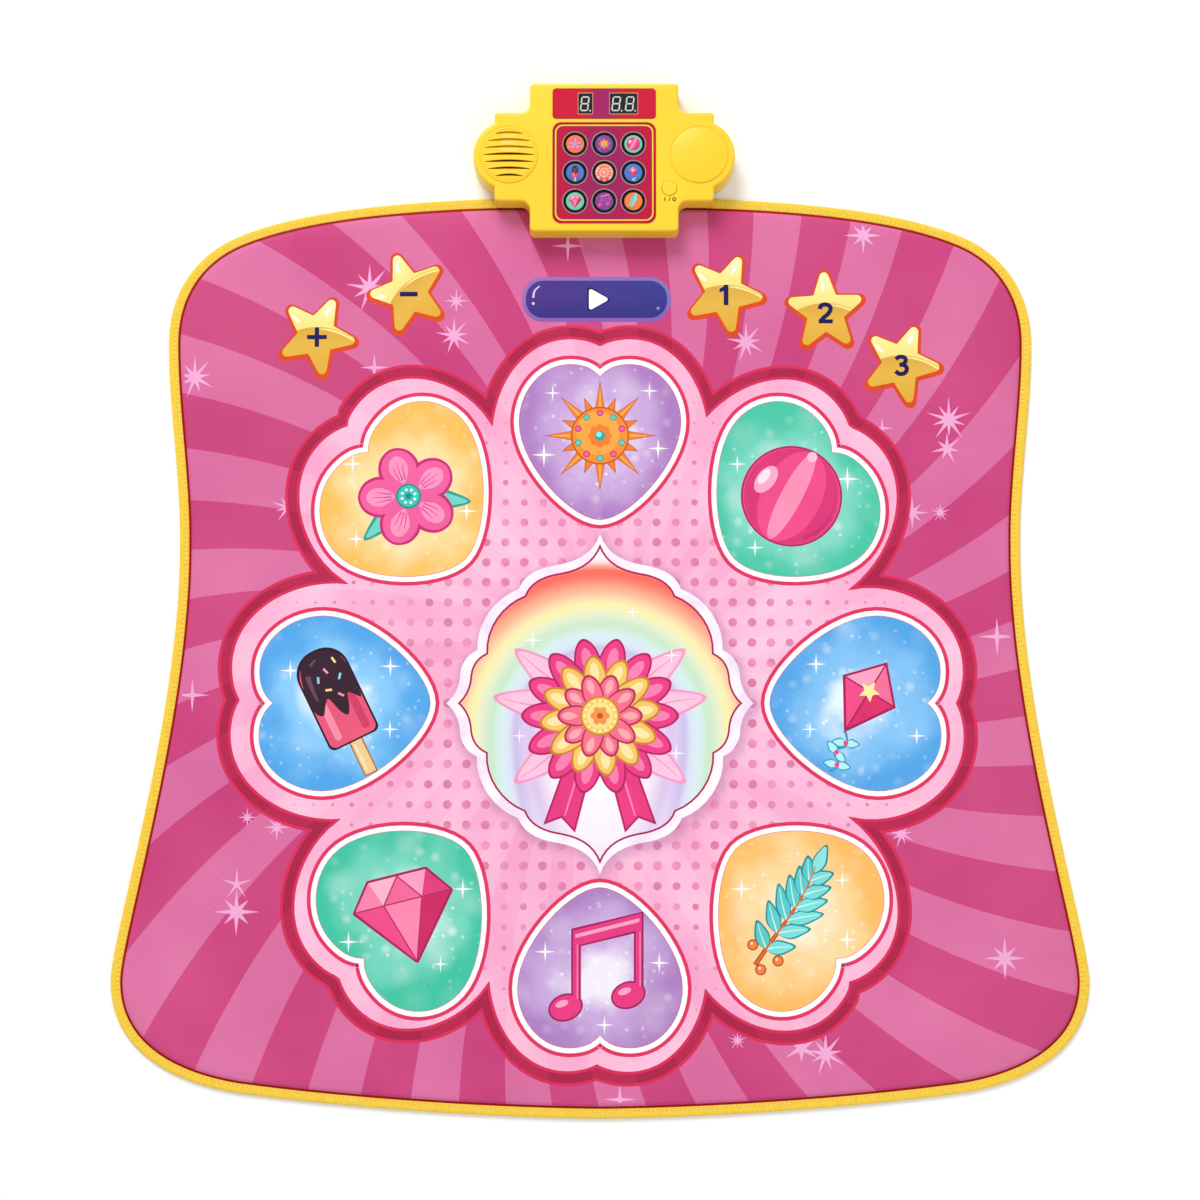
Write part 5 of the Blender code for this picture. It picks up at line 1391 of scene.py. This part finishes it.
def pad_loops():
    """Every pressable print with its outline."""
    loops = {name: inset(heart(*sizes), -HEART_BORDER) for name, *sizes in HEARTS}
    loops["pad_centre"] = medallion()
    for name, x, y, direction, _ in STARS:
        loops[name] = star(x, y, direction, STAR_RIM)
    loops["key_start"] = rectangle(*START, *START_SIZE, START_CORNER, 14)
    return loops


def cover_print(loops):
    """The printed top sheet: rays, sparkles, the flower's band and its dotted field."""
    rays, red, edge = ray_print(), ink("9E030A"), ink("D62E5A")
    outline = mat_outline()
    full = COVER_STEPS[-1]
    rims = []
    for step in COVER_STEPS:
        rise = float(soft_step(step, RISE_START, full))
        rims.append(ring(inset(outline, step), COVER_RIM_TOP + (COVER_TOP - COVER_RIM_TOP) * rise))
    piece = Piece("cover_print")
    piece.band(rims[:RED_LINE_STEPS], red)
    piece.band(rims[RED_LINE_STEPS - 1:], rays)
    field = inset(outline, full)
    flower_edge, outer = band_loop(BAND_OUTER), band_loop(BAND_OUTER - BAND_EDGE)
    inner, flower_field = band_loop(BAND_INNER + BAND_EDGE), band_loop(BAND_INNER)
    inks = [(spark(x, y, reach * 1.12, points, 0.15 if points < 6 else 0.25), ink("F0A9D6"))
            for x, y, reach, points in SPARKLES]
    inks += [(flower_edge, edge), (outer, band_core()), (inner, edge), (flower_field, dotted_print())]
    inks += [(spark(x, y, 0.0088, 10, 0.14), ink("F8BAD8")) for x, y in FAINT_SPARKLES]
    console = rectangle(CONSOLE_X, *STILL)
    fixed = np.array([point for loop in (*loops.values(), field, flower_edge, console) for point in loop])
    grid = lattice(*SPREAD)
    free = grid[inside(grid, field) & ~inside(grid, flower_edge) & (nearest(grid, fixed) > SPREAD_CLEAR)]
    medal = loops["pad_centre"]
    middle = lattice(*SHADOW_SPREAD)
    lit = middle[~inside(middle, medal) & (nearest(middle, np.array(medal)) < SHADOW_REACH)]
    lit = lit[nearest(lit, fixed) > SHADOW_CLEAR]

    def height(spots):
        """The free sheet's faint waves, calm near every outline."""
        spots = np.asarray(spots)
        x, y = spots[:, 0], spots[:, 1]
        calm = soft_step(nearest(spots, fixed), *CALM)
        calm = np.where(inside(spots, flower_edge) | inside(spots, console), 0.0, calm)
        wave = np.sin(x * 31 + 1.3 * np.sin(y * 17)) * np.cos(y * 23 + 0.8)
        wave = wave + 0.5 * np.sin(x * 13 - y * 47 + 2.0)
        return COVER_TOP + RIPPLE * wave * calm

    piece.paint(field, rays, height, inks, list(loops.values()), [*map(tuple, free), *map(tuple, lit)])
    cover = piece.make(nodes=["cover_sheet"])
    spots = np.array([vertex.co[:2] for vertex in cover.data.vertices])
    cast = np.array(medal) + np.array(SHADOW_SHIFT)
    values = 1.0 - soft_step(nearest(spots, cast), 0.0, SHADOW_BLUR)
    values = np.where(inside(spots, cast), 1.0, values)
    shadow = cover.data.attributes.new("shadow", "FLOAT", "POINT")
    shadow.data.foreach_set("value", values)
    thick = cover.modifiers.new("Thickness", "SOLIDIFY")
    thick.thickness = COVER_THICKNESS
    thick.offset = -1.0
    cover.data.materials.append(Finish("cover_back", "EDE6EA", 0.7).cloth())
    thick.material_offset = len(cover.data.materials)
    thick.material_offset_rim = 0
    smooth(bake(cover))


def printed_pad(name, loop, base, inks):
    """One pressable print, as thick as its pad, in the cover's own plane."""
    piece = Piece(name + "_print")
    piece.plate(inset(loop, 0.00004), base, PAD_BOTTOM, COVER_TOP, inks)
    return piece.make(body=name, nodes=[name])


def heart_pads(loops):
    crimson, white, seam = ink("E23462"), soft_white(), ink("C92A56")
    for name, *sizes in HEARTS:
        field = heart(*sizes)
        drawing, turn, size, colours, stars = FIELDS[name]
        direction, _, length, *place = sizes
        centre = on_circle((0.0, length * HEART_MIDDLE), direction, *place)
        glows = [(centre[0] + x / 1000, centre[1] + y / 1000, reach / 1100) for x, y, reach in stars]
        finish = heart_field(name + "_field", centre, *colours, 1.0, glows)
        inks = [(inset(field, -WHITE_RING), white), (inset(field, -HEART_SEAM), seam), (field, finish)]
        inks += print_of(glints(stars), centre) + print_of(drawing(), centre, turn, size / 1000)
        printed_pad(name, loops[name], crimson, inks)


def centre_pad(loops):
    white = soft_white("medallion_white", "FCF4FB", "F1DFF1")
    line = medallion(*MEDALLION_LINE)
    inks = [(line, ink("AE1E54")), (inset(line, 0.0018), rainbow())]
    inks += print_of(rosette(), (CIRCLE[0], ROSETTE_Y), 0, 0.00104)
    inks += print_of(glints(CENTRE_GLINTS), CIRCLE)
    printed_pad("pad_centre", loops["pad_centre"], white, inks)


def menu_keys(loops):
    """The five star keys, with a highlight on each arm that faces the pale side."""
    orange, navy = ink("DE4A1E", 0.40), ink("1C1454", 0.40)
    for (name, x, y, direction, light), sign in zip(STARS, "+-123"):
        face = star(x + STAR_SHIFT[0], y + STAR_SHIFT[1], direction, STAR_FACE)
        gold = star_gold(name + "_gold", x, y, light - 90)
        inks = [(inset(face, -STAR_SEAM), ink("C8661E", 0.40)), (face, gold)]
        for arm in range(5):
            tip = math.radians(direction + 72 * arm)
            if math.cos(tip - math.radians(light)) > 0.45:
                out, aside = SHINE
                middle = (x + out * math.cos(tip) + aside * -math.sin(tip),
                          y + out * math.sin(tip) + aside * math.cos(tip))
                inks += [(ellipse(*middle, high, wide, math.degrees(tip)), ink(code))
                         for wide, high, code in ((0.0017, 0.0058, "FFFAD6"), (0.0010, 0.0042, "FFFFFF"))]
        inks += [(moved(part, (x, y), 0, SIGN_SIZE), navy) for part in glyph(sign)]
        printed_pad(name, loops[name], orange, inks)


def start_key(loops):
    """The long key, with glints at its ends and a triangle."""
    x, y = START
    left, right = x - START_SIZE[0] / 2, x + START_SIZE[0] / 2
    glint = [(left + 0.0105, y + 0.0015), (left + 0.0118, y + 0.0080), (left + 0.0165, y + 0.0125)]
    inks = [(inset(loops["key_start"], 0.0036), start_body("start_body", "2E2A74", "4E3488", "3A3A8E")),
            (stroke(glint, 0.0022, 0.5), ink("D9CBEF")),
            (circle(left + 0.0105, y - 0.0040, 0.0013, 16), ink("E6DCF5")),
            (circle(right - 0.0120, y - 0.0085, 0.0016, 16), ink("8C84D6"))]
    triangle = rounded([(-9.5, -13, 2.2), (13.5, 0, 2.2), (-9.5, 13, 2.2)], 4)
    inks += [(moved(triangle, (x + 0.001, y), 0, size / 1000), ink(code))
             for size, code in ((1.0, "1D1752"), (0.84, "FFFFFF"))]
    printed_pad("key_start", loops["key_start"], start_body("start_rim", "8058AC", "9C70B8", "8370BE"), inks)


def lengths(points):
    """How far along a line each of its points lies."""
    steps = np.hypot(*np.diff(np.array(points), axis=0).T)
    return np.concatenate(([0.0], np.cumsum(steps)))


def edge_tape():
    """The yellow tape folded round the edge and sewn through."""
    outline = mat_outline(60)
    profile = [(0.0088, 0.0000), (0.0064, 0.0001), (0.0040, 0.0000), (0.0014, 0.0000), (0.0006, 0.0003),
               (0.0001, 0.0010), (0.0000, 0.0018), (0.0001, 0.0026), (0.0006, 0.0033), (0.0014, 0.0036),
               (0.0052, 0.0036), (0.0059, 0.0034), (0.0069, 0.0034), (0.0074, 0.0036), (0.0081, 0.0036),
               (0.0087, 0.0032), (0.0088, 0.0029), (0.0045, 0.0029), (0.0014, 0.0029), (0.0008, 0.0018),
               (0.0014, 0.0007), (0.0088, 0.0007)]
    top_start = 9
    across = lengths([*profile, profile[0]])
    around = lengths([*outline, outline[0]])
    cloth = tape_cloth(float(across[top_start] + STITCH_INSET - profile[top_start][0]))
    piece = Piece("edge_tape")
    piece.band([ring(inset(outline, step), z) for step, z in (*profile, profile[0])], cloth)
    tape = piece.loose(tidy=False)
    values = [value for low in range(len(profile)) for i in range(len(outline))
              for value in (around[i], across[low], around[i + 1], across[low],
                            around[i + 1], across[low + 1], around[i], across[low + 1])]
    tape.data.uv_layers.new(name="tape").data.foreach_set("uv", values)
    rework(tape.data, 2e-7)
    settle(tape, BODY, ["edge_binding"])
    yarn = thread()
    line = np.array(inset(outline, STITCH_INSET))
    line = np.concatenate((line, line[:1]))
    length = lengths(line)
    total = round(length[-1] / STITCH_PITCH)
    at = np.arange(total) * length[-1] / total
    x, y = np.interp(at, length, line[:, 0]), np.interp(at, length, line[:, 1])
    turns = np.arctan2(np.roll(y, -1) - np.roll(y, 1), np.roll(x, -1) - np.roll(x, 1))
    for name, z in (("stitches_top", BINDING_TOP - 0.0001), ("stitches_under", 0.0003)):
        row = repeated(name, [(a, b, z) for a, b in zip(x, y)], turns, (0.00160, 0.00042, 0.00028), yarn)
        settle(row, angle=80)


def underside():
    """The anti-slip backing with its rubber dots."""
    outline = mat_outline()
    rubber = rubber_cloth()
    rim, field = inset(outline, BACKING_INSET), inset(outline, BACKING_FIELD)
    middle, low = 0.0010, 0.0005
    hole = rectangle(CONSOLE_X, CLAMP_Y, *CLAMP_SLOT, 0.001, 4)
    piece = Piece("backing")
    piece.band([ring(rim, middle), ring(inset(outline, 0.0091), middle), ring(field, low)], rubber)
    piece.band([ring(field, BACKING_TOP), ring(rim, BACKING_TOP)], rubber)
    piece.band([ring(rim, BACKING_TOP), ring(rim, middle)], rubber)
    piece.paint(field, rubber, low, (), [hole])
    piece.paint(field, rubber, BACKING_TOP, (), [hole])
    piece.band([ring(hole, low), ring(hole, BACKING_TOP)], rubber)
    piece.make(nodes=["backing_sheet"])
    across, along, radius, depth = 0.011, 0.0095, 0.0018, 0.00052
    grid = np.array([(x + (row % 2) * across / 2, y)
                     for row, y in enumerate(np.arange(-0.47, 0.37, along))
                     for x in np.arange(-0.45, 0.45, across)])
    clear = rectangle(CONSOLE_X, CLAMP_Y, 0.140, 0.019)
    grid = grid[inside(grid, inset(outline, DOT_FIELD)) & ~inside(grid, clear)]
    dots = repeated("grip_dots", [(x, y, depth) for x, y in grid], np.zeros(len(grid)),
                    (radius, radius, depth), gloss("grip_rubber", "2A2A2D", 0.6), 8)
    settle(dots, angle=80)


def foam_layer(loops):
    """The foam under the cover, with a window under each print."""
    piece = Piece("foam_layer")
    windows = [inset(loop, -WINDOW_GROWTH) for loop in loops.values()]
    piece.plate(inset(mat_outline(16), FOAM_INSET), foam(), *FOAM, (), windows)
    piece.make(nodes=["spacer_foam"])


# The console.

def lens_places():
    return [(CONSOLE_X + (column - 1) * LENS_PITCH, INDICATOR_Y + (1 - row) * LENS_PITCH)
            for row in range(3) for column in range(3)]


def lens_holes():
    return [circle(x, y, LENS_HOLE) for x, y in lens_places()]


def display_windows(margin):
    return [rectangle(CONSOLE_X + x, DISPLAY_Y, width + 2 * margin, DIGIT_HEIGHT + 2 * margin, 0.0004, 2)
            for x, width in ((LEVEL_X, DIGIT_WIDTH), (SCORE_X, 2 * DIGIT_WIDTH))]


def top_shell(yellow):
    """The case's top: one wall all round, with the grille, the discs and every opening."""
    piece = Piece("top_shell")
    outline = console_outline()
    low = [(0.0004, PARTING_Z), (0.0, PARTING_Z + 0.0004), (DRAFT, CONSOLE_TOP - SHELL_ROUND)]
    arc = [math.radians(90 * k / 6) for k in range(1, 7)]
    low += [(DRAFT + SHELL_ROUND * (1 - math.cos(a)), CONSOLE_TOP - SHELL_ROUND * (1 - math.sin(a)))
            for a in arc]
    piece.band([ring(inset(outline, step), z) for step, z in low], yellow)
    windows = display_windows(DIGIT_WINDOW_GAP) + lens_holes() + [circle(*POWER, POWER_RADIUS + 0.0004)]
    slots = [speaker_slot(index, throat) for index, throat in enumerate(SLOT_THROATS)]
    # Painted shade: the grille slots' inner walls are a deeper yellow than the shell, for the shade inside
    # the slots.
    deep = shell_plastic("slot_painted_shade", "DE9A14")
    lobes = [(CONSOLE_X - LOBE_OFFSET, slots), (CONSOLE_X + LOBE_OFFSET, [])]
    feet = [circle(x, LOBE_Y, DISC_RADIUS, 96) for x, _ in lobes]
    piece.paint(inset(outline, low[-1][0]), yellow, CONSOLE_TOP, (), feet + windows)
    groove = CONSOLE_TOP - 0.0004
    rise = [(0.0, CONSOLE_TOP), (0.0003, groove), (0.0008, groove), (0.0011, DISC_TOP - 0.0005),
            (0.0013, DISC_TOP - 0.0002), (0.0018, DISC_TOP)]
    rim = [(0.0028, DISC_TOP), (0.0030, DISC_TOP - 0.0005), (0.0036, DISC_TOP - 0.0005), (0.0038, DISC_TOP)]
    for x, holes in lobes:
        steps = rise + rim if holes else rise
        piece.turned([(DISC_RADIUS - step, z) for step, z in steps], x, LOBE_Y, yellow, 96)
        mouths = [speaker_slot(index, SLOT_WIDTH) for index in range(len(holes))]
        piece.paint(circle(x, LOBE_Y, DISC_RADIUS - steps[-1][0], 96), yellow, DISC_TOP, (), mouths)
        for mouth, hole in zip(mouths, holes):
            piece.band([ring(mouth, DISC_TOP), ring(hole, DISC_TOP - 0.0015), ring(hole, CEILING)], deep)
    for window in windows:
        piece.band([ring(window, CONSOLE_TOP), ring(window, CEILING)], yellow)
    wall = inset(outline, WALL + DRAFT)
    piece.paint(wall, yellow, CEILING, (), windows + slots)
    piece.band([ring(wall, CEILING), ring(wall, PARTING_Z), ring(inset(outline, 0.0004), PARTING_Z)], yellow)
    piece.make(nodes=["console_top"])


def door_loop(margin, steps=4):
    """The battery door: a plate with a screw tab on its front edge."""
    wide, long = (size / 2 + DOOR_LAP + margin for size in BAY)
    front, tab = BAY_Y - long, DOOR_TAB + margin
    end = DOOR_SCREW[1] - tab
    right = [(tab, end, 0.001), (tab, front, 0.0), (wide, front, 0.001), (wide, BAY_Y + long, 0.001)]
    left = [(-x, y, radius) for x, y, radius in reversed(right)]
    return moved(rounded([*left[1:], *right, left[0]], steps), (CONSOLE_X, 0.0))


def tray(yellow):
    """The case's underside: stepped over the mat, hollow, with its battery bay and screw wells."""
    outline = console_outline()
    piece = Piece("tray")
    low = [(0.0010, 0.0), (0.0003, 0.0003), (0.0, 0.0010), (0.0, PARTING_Z - 0.0004), (0.0004, PARTING_Z)]
    piece.band([ring(inset(outline, step), z) for step, z in low], yellow)
    piece.paint(inset(outline, low[0][0]), yellow, 0.0)
    piece.paint(inset(outline, low[-1][0]), yellow, PARTING_Z)
    base = piece.loose()
    over = rectangle(*STEP)
    room = prism(inset(outline, WALL + DRAFT), WALL, PARTING_Z + 0.002, yellow)
    combine(room, [prism(over, -0.002, STEP_Z + WALL, yellow)], "DIFFERENCE")
    combine(base, [prism(over, -0.002, STEP_Z, yellow), room], "DIFFERENCE")
    foot, under, past, door_post = WALL / 2, -0.001, PARTING_Z + 0.001, 0.0110
    walls = [size + 2 * BAY_WALL for size in BAY]
    posts = pins(CASE_SPOTS, [(CASE_POST, foot), (CASE_POST, PARTING_Z)], yellow)
    posts += pins(CLAMP_SPOTS, [(SCREW_POST, STEP_Z + foot), (SCREW_POST, PARTING_Z)], yellow)
    posts += pins([DOOR_SCREW], [(SCREW_POST, foot), (SCREW_POST, door_post)], yellow)
    combine(base, [*posts, prism(rectangle(CONSOLE_X, BAY_Y, *walls), foot, 0.0185, yellow)], "UNION")
    holes = [prism(rectangle(CONSOLE_X, BAY_Y, *BAY), under, 0.0170, yellow),
             prism(door_loop(0.0004), under, 0.0020, yellow)]
    for spot in CASE_SPOTS:
        holes += pins([spot], [(0.0035, under), (0.0031, 0.0053)], yellow)
        holes += pins([spot], [(BORE, 0.005), (BORE, past)], yellow)
    holes += pins(CLAMP_SPOTS, [(BORE, under), (BORE, past)], yellow)
    holes += pins([DOOR_SCREW], [(BORE, under), (BORE, door_post - 0.001)], yellow)
    combine(base, holes, "DIFFERENCE")
    settle(base, BODY, ["console_base"])


def battery_lid(yellow):
    """The battery door: ribbed for grip, with a hole for its screw."""
    piece = Piece("battery_lid")
    piece.plate(door_loop(0.0), yellow, *DOOR, (), [circle(*DOOR_SCREW, 0.0031, 32)])
    for k in range(5):
        ridge = rectangle(CONSOLE_X, BAY_Y - 0.0155 + 0.0032 * k, 0.030, 0.0011, 0.0005, 3)
        piece.plate(ridge, yellow, 0.0001, 0.0006)
    piece.make(body="battery_door", nodes=["battery_door"])


def label(name, node, middle_y, size, edge, prints, holes):
    """A printed label with its openings."""
    piece = Piece(name)
    piece.plate(rectangle(CONSOLE_X, middle_y, *size), ink(edge, 0.3), CONSOLE_TOP, LABEL_TOP, prints, holes)
    piece.make(nodes=[node])


def labels():
    """Both printed labels: the display's and the one round the nine lamps."""
    face = label_print("display_crimson", "9C1E5C", "CB1238", (CONSOLE_X - 0.0015, DISPLAY_Y), (0.020, 0.050))
    wide, long, corner = DISPLAY_LABEL
    edge = 0.0009
    prints = [(rectangle(CONSOLE_X, DISPLAY_Y, wide - edge, long - edge, corner), face)]
    prints += [(window, ink("CBB07C", 0.3)) for window in display_windows(0.0007)]
    label("display_print", "display_label", DISPLAY_Y, DISPLAY_LABEL, "A01236", prints,
          display_windows(DIGIT_WINDOW_GAP))
    face = label_print("lamp_crimson", "951A56", "BA0F3A", (CONSOLE_X, INDICATOR_Y), (0.047, 0.075))
    wide, long, _ = INDICATOR_LABEL
    dark = ink("7E0E22", 0.3)
    prints = [(rectangle(CONSOLE_X, INDICATOR_Y, wide - 2 * step, long - 2 * step, corner), finish)
              for step, corner, finish in ((0.0020, 0.0074, dark), (0.0024, 0.0071, ink("F6DC46", 0.3)),
                                           (0.0036, 0.0063, dark), (0.0040, 0.0060, face))]
    label("indicator_print", "indicator_label", INDICATOR_Y, INDICATOR_LABEL, "BE1032", prints, lens_holes())


def displays():
    """The seven-segment modules: slanted pale strokes and a point for each digit."""
    black, pale = gloss("window_black", "0D0D10", 0.12), gloss("segment_grey", "D2D4CE", 0.4)
    for name, x, digits in (("level_display", LEVEL_X, 1), ("score_display", SCORE_X, 2)):
        piece = Piece(name + "_module")
        inks = []
        for k in range(digits):
            centre = (CONSOLE_X + x + (k - (digits - 1) / 2) * DIGIT_WIDTH - 0.0006, DISPLAY_Y)
            inks += [(moved([(u + DIGIT_SLANT * v, v) for u, v in part], centre, 0, 0.001), pale)
                     for part in segments()]
            inks.append((circle(centre[0] + 0.0050, centre[1] - 0.0066, 0.0008, 16), pale))
        body = rectangle(CONSOLE_X + x, DISPLAY_Y, DIGIT_WIDTH * digits, DIGIT_HEIGHT, 0.0003, 2)
        piece.plate(body, black, DIGIT_TOP - DIGIT_DEPTH, DIGIT_TOP, inks)
        piece.make(nodes=[name])


def lamps():
    """Nine black rings with bright rims, and the printed lenses in them."""
    black = gloss("bezel_black", "0C0C0E", 0.5, Specular_IOR_Level=0.12)
    bright = gloss("bezel_rim", "A9A2A8", 0.35)
    foot = 0.0284
    dark_ring = [(0.0084, foot), (0.0094, foot), (0.0094, LABEL_TOP), (0.0108, LABEL_TOP),
                 (BEZEL_RADIUS, 0.0310), (BEZEL_RADIUS, 0.0312), (0.0106, 0.0315), (0.0093, 0.0315),
                 (0.0086, 0.0311), (0.0084, 0.0309), (0.0084, foot)]
    rim = [(0.0108, LABEL_TOP - 0.0002), (0.0119, LABEL_TOP), (0.0118, 0.0312), (0.0116, 0.0313),
           (0.0111, LABEL_TOP), (0.0108, LABEL_TOP - 0.0002)]
    frames = Piece("lamp_bezels")
    for number, ((x, y), (drawing, colours)) in enumerate(zip(lens_places(), LENSES), 1):
        frames.turned(dark_ring, x, y, black)
        frames.turned(rim, x, y, bright)
        deep, pale = colours
        finish = heart_field(f"lamp_{number}_field", (x, y), deep, deep, pale, 0.1)
        inks = print_of(drawing(), (x, y), 0, 0.000095 if drawing is rosette else 0.000148)

        def dome(spots, x=x, y=y):
            away = np.hypot(np.asarray(spots)[:, 0] - x, np.asarray(spots)[:, 1] - y)
            return LENS_EDGE_TOP + LENS_RISE * (1 - (away / LENS_RADIUS) ** 2)

        spots = [point for radius in (0.0022, 0.0044, 0.0064) for point in circle(x, y, radius, 16)]
        lens = Piece(f"lamp_print_{number}")
        lens.plate(circle(x, y, LENS_RADIUS), finish, LENS_BOTTOM, dome, inks, (), spots)
        lens.make(nodes=[f"indicator_lens_{number}"], angle=50)
    frames.make(nodes=["indicator_frame"])


def power_cap(yellow):
    """The round switch button, and the plain sign printed under it."""
    x, y = POWER
    radius, flange = POWER_RADIUS, POWER_RADIUS + POWER_FLANGE
    piece = Piece("power_cap")
    profile = [(flange, 0.0270), (flange, 0.0278), (radius, 0.0279), (radius, 0.0311),
               (radius - 0.0002, 0.0314), (radius - 0.0006, 0.0315), (radius * 0.5, 0.03135)]
    piece.button(profile, x, y, yellow, 64)
    piece.make(body="power_button", nodes=["power_button"])
    mark = Piece("switch_mark")
    y -= MARK_DROP
    ring_x = x + 0.0044
    for loop, holes in ((bar(x - 0.0042, y, 0.0009, 0.0036), ()),
                        (moved(rectangle(0, 0, 0.0007, 0.0044), (x, y), -22), ()),
                        (ellipse(ring_x, y, 0.0018, 0.0019), [ellipse(ring_x, y, 0.0009, 0.0010)])):
        mark.plate(loop, ink("2A2218", 0.4), CONSOLE_TOP - 0.0002, CONSOLE_TOP + INK, (), holes)
    mark.make()


def hidden_parts(nodes):
    """Finishes for the CAD parts that stay as they are."""
    steel, black = metal("zinc_steel", "B4B6BC", 0.32), gloss("frame_black", "17171A", 0.35)
    lead, sleeve = gloss("lead_grey", "2A2A2C", 0.5), cell_sleeve()
    looks = {"main_board": board_green(), "circuit_film": clear_film(), "speaker_cone": paper_cone(),
             "speaker_frame": steel, "clamp_plate": steel, "speaker_lead": lead, "battery_lead": lead}
    looks.update({f"battery_{k}": sleeve for k in (1, 2, 3)})
    for name, node in nodes.items():
        finish = looks.get(name, steel if "screw" in name or "contact" in name else black)
        for place in node.material_slots:
            place.link = "DATA"
            place.material = finish
        if not len(node.material_slots):
            node.data.materials.append(finish)


# The studio.

def studio():
    """A plain near-white floor, soft light from behind and in front, and the photograph's camera."""
    floor = bpy.data.meshes.new("floor")
    corners = [(-9, -9, -0.0001), (9, -9, -0.0001), (9, 9, -0.0001), (-9, 9, -0.0001)]
    floor.from_pydata(corners, [], [(0, 1, 2, 3)])
    floor.materials.append(Finish("floor_white", "FAFAFA", 0.9).material)
    put("floor", floor)
    world = bpy.data.worlds.new("studio_air")
    world.use_nodes = True
    air = world.node_tree.nodes["Background"].inputs
    air["Color"].default_value = (1.0, 1.0, 1.0, 1.0)
    air["Strength"].default_value = 0.64
    bpy.context.scene.world = world
    for name, place, strength, size in (("softbox_back", (-1.5, 4.4, 4.2), 236.0, 2.6),
                                        ("softbox_front", (1.4, -1.9, 2.4), 14.0, 2.0)):
        light = bpy.data.lights.new(name, "AREA")
        light.energy = strength
        light.size = size
        box = put(name, light)
        box.location = place
        box.rotation_euler = (-Vector(place)).to_track_quat("-Z", "Y").to_euler()
    lens = bpy.data.cameras.new("camera")
    lens.sensor_width = 36.0
    lens.lens = 74.76
    camera = put("camera", lens)
    tilt, distance, aim_y = math.radians(5.0), 2.3, -0.00415
    camera.location = (0.0, aim_y - distance * math.sin(tilt), COVER_TOP + distance * math.cos(tilt))
    camera.rotation_euler = (tilt, 0.0, 0.0)
    bpy.context.scene.camera = camera
    bpy.context.scene.view_settings.view_transform = "Standard"


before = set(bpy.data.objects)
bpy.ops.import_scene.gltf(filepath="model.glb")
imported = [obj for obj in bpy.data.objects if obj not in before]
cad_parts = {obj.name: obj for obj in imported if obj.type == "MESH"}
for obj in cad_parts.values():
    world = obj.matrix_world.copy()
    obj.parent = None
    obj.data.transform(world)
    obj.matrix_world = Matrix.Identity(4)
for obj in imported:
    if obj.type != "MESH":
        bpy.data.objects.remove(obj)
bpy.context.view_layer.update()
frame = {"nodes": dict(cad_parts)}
studio()
hidden_parts(frame["nodes"])
pads = pad_loops()
cover_print(pads)
heart_pads(pads)
centre_pad(pads)
menu_keys(pads)
start_key(pads)
edge_tape()
underside()
foam_layer(pads)
shell = shell_plastic("shell_yellow", "FAD230")
top_shell(shell)
tray(shell)
battery_lid(shell)
labels()
displays()
lamps()
power_cap(shell)
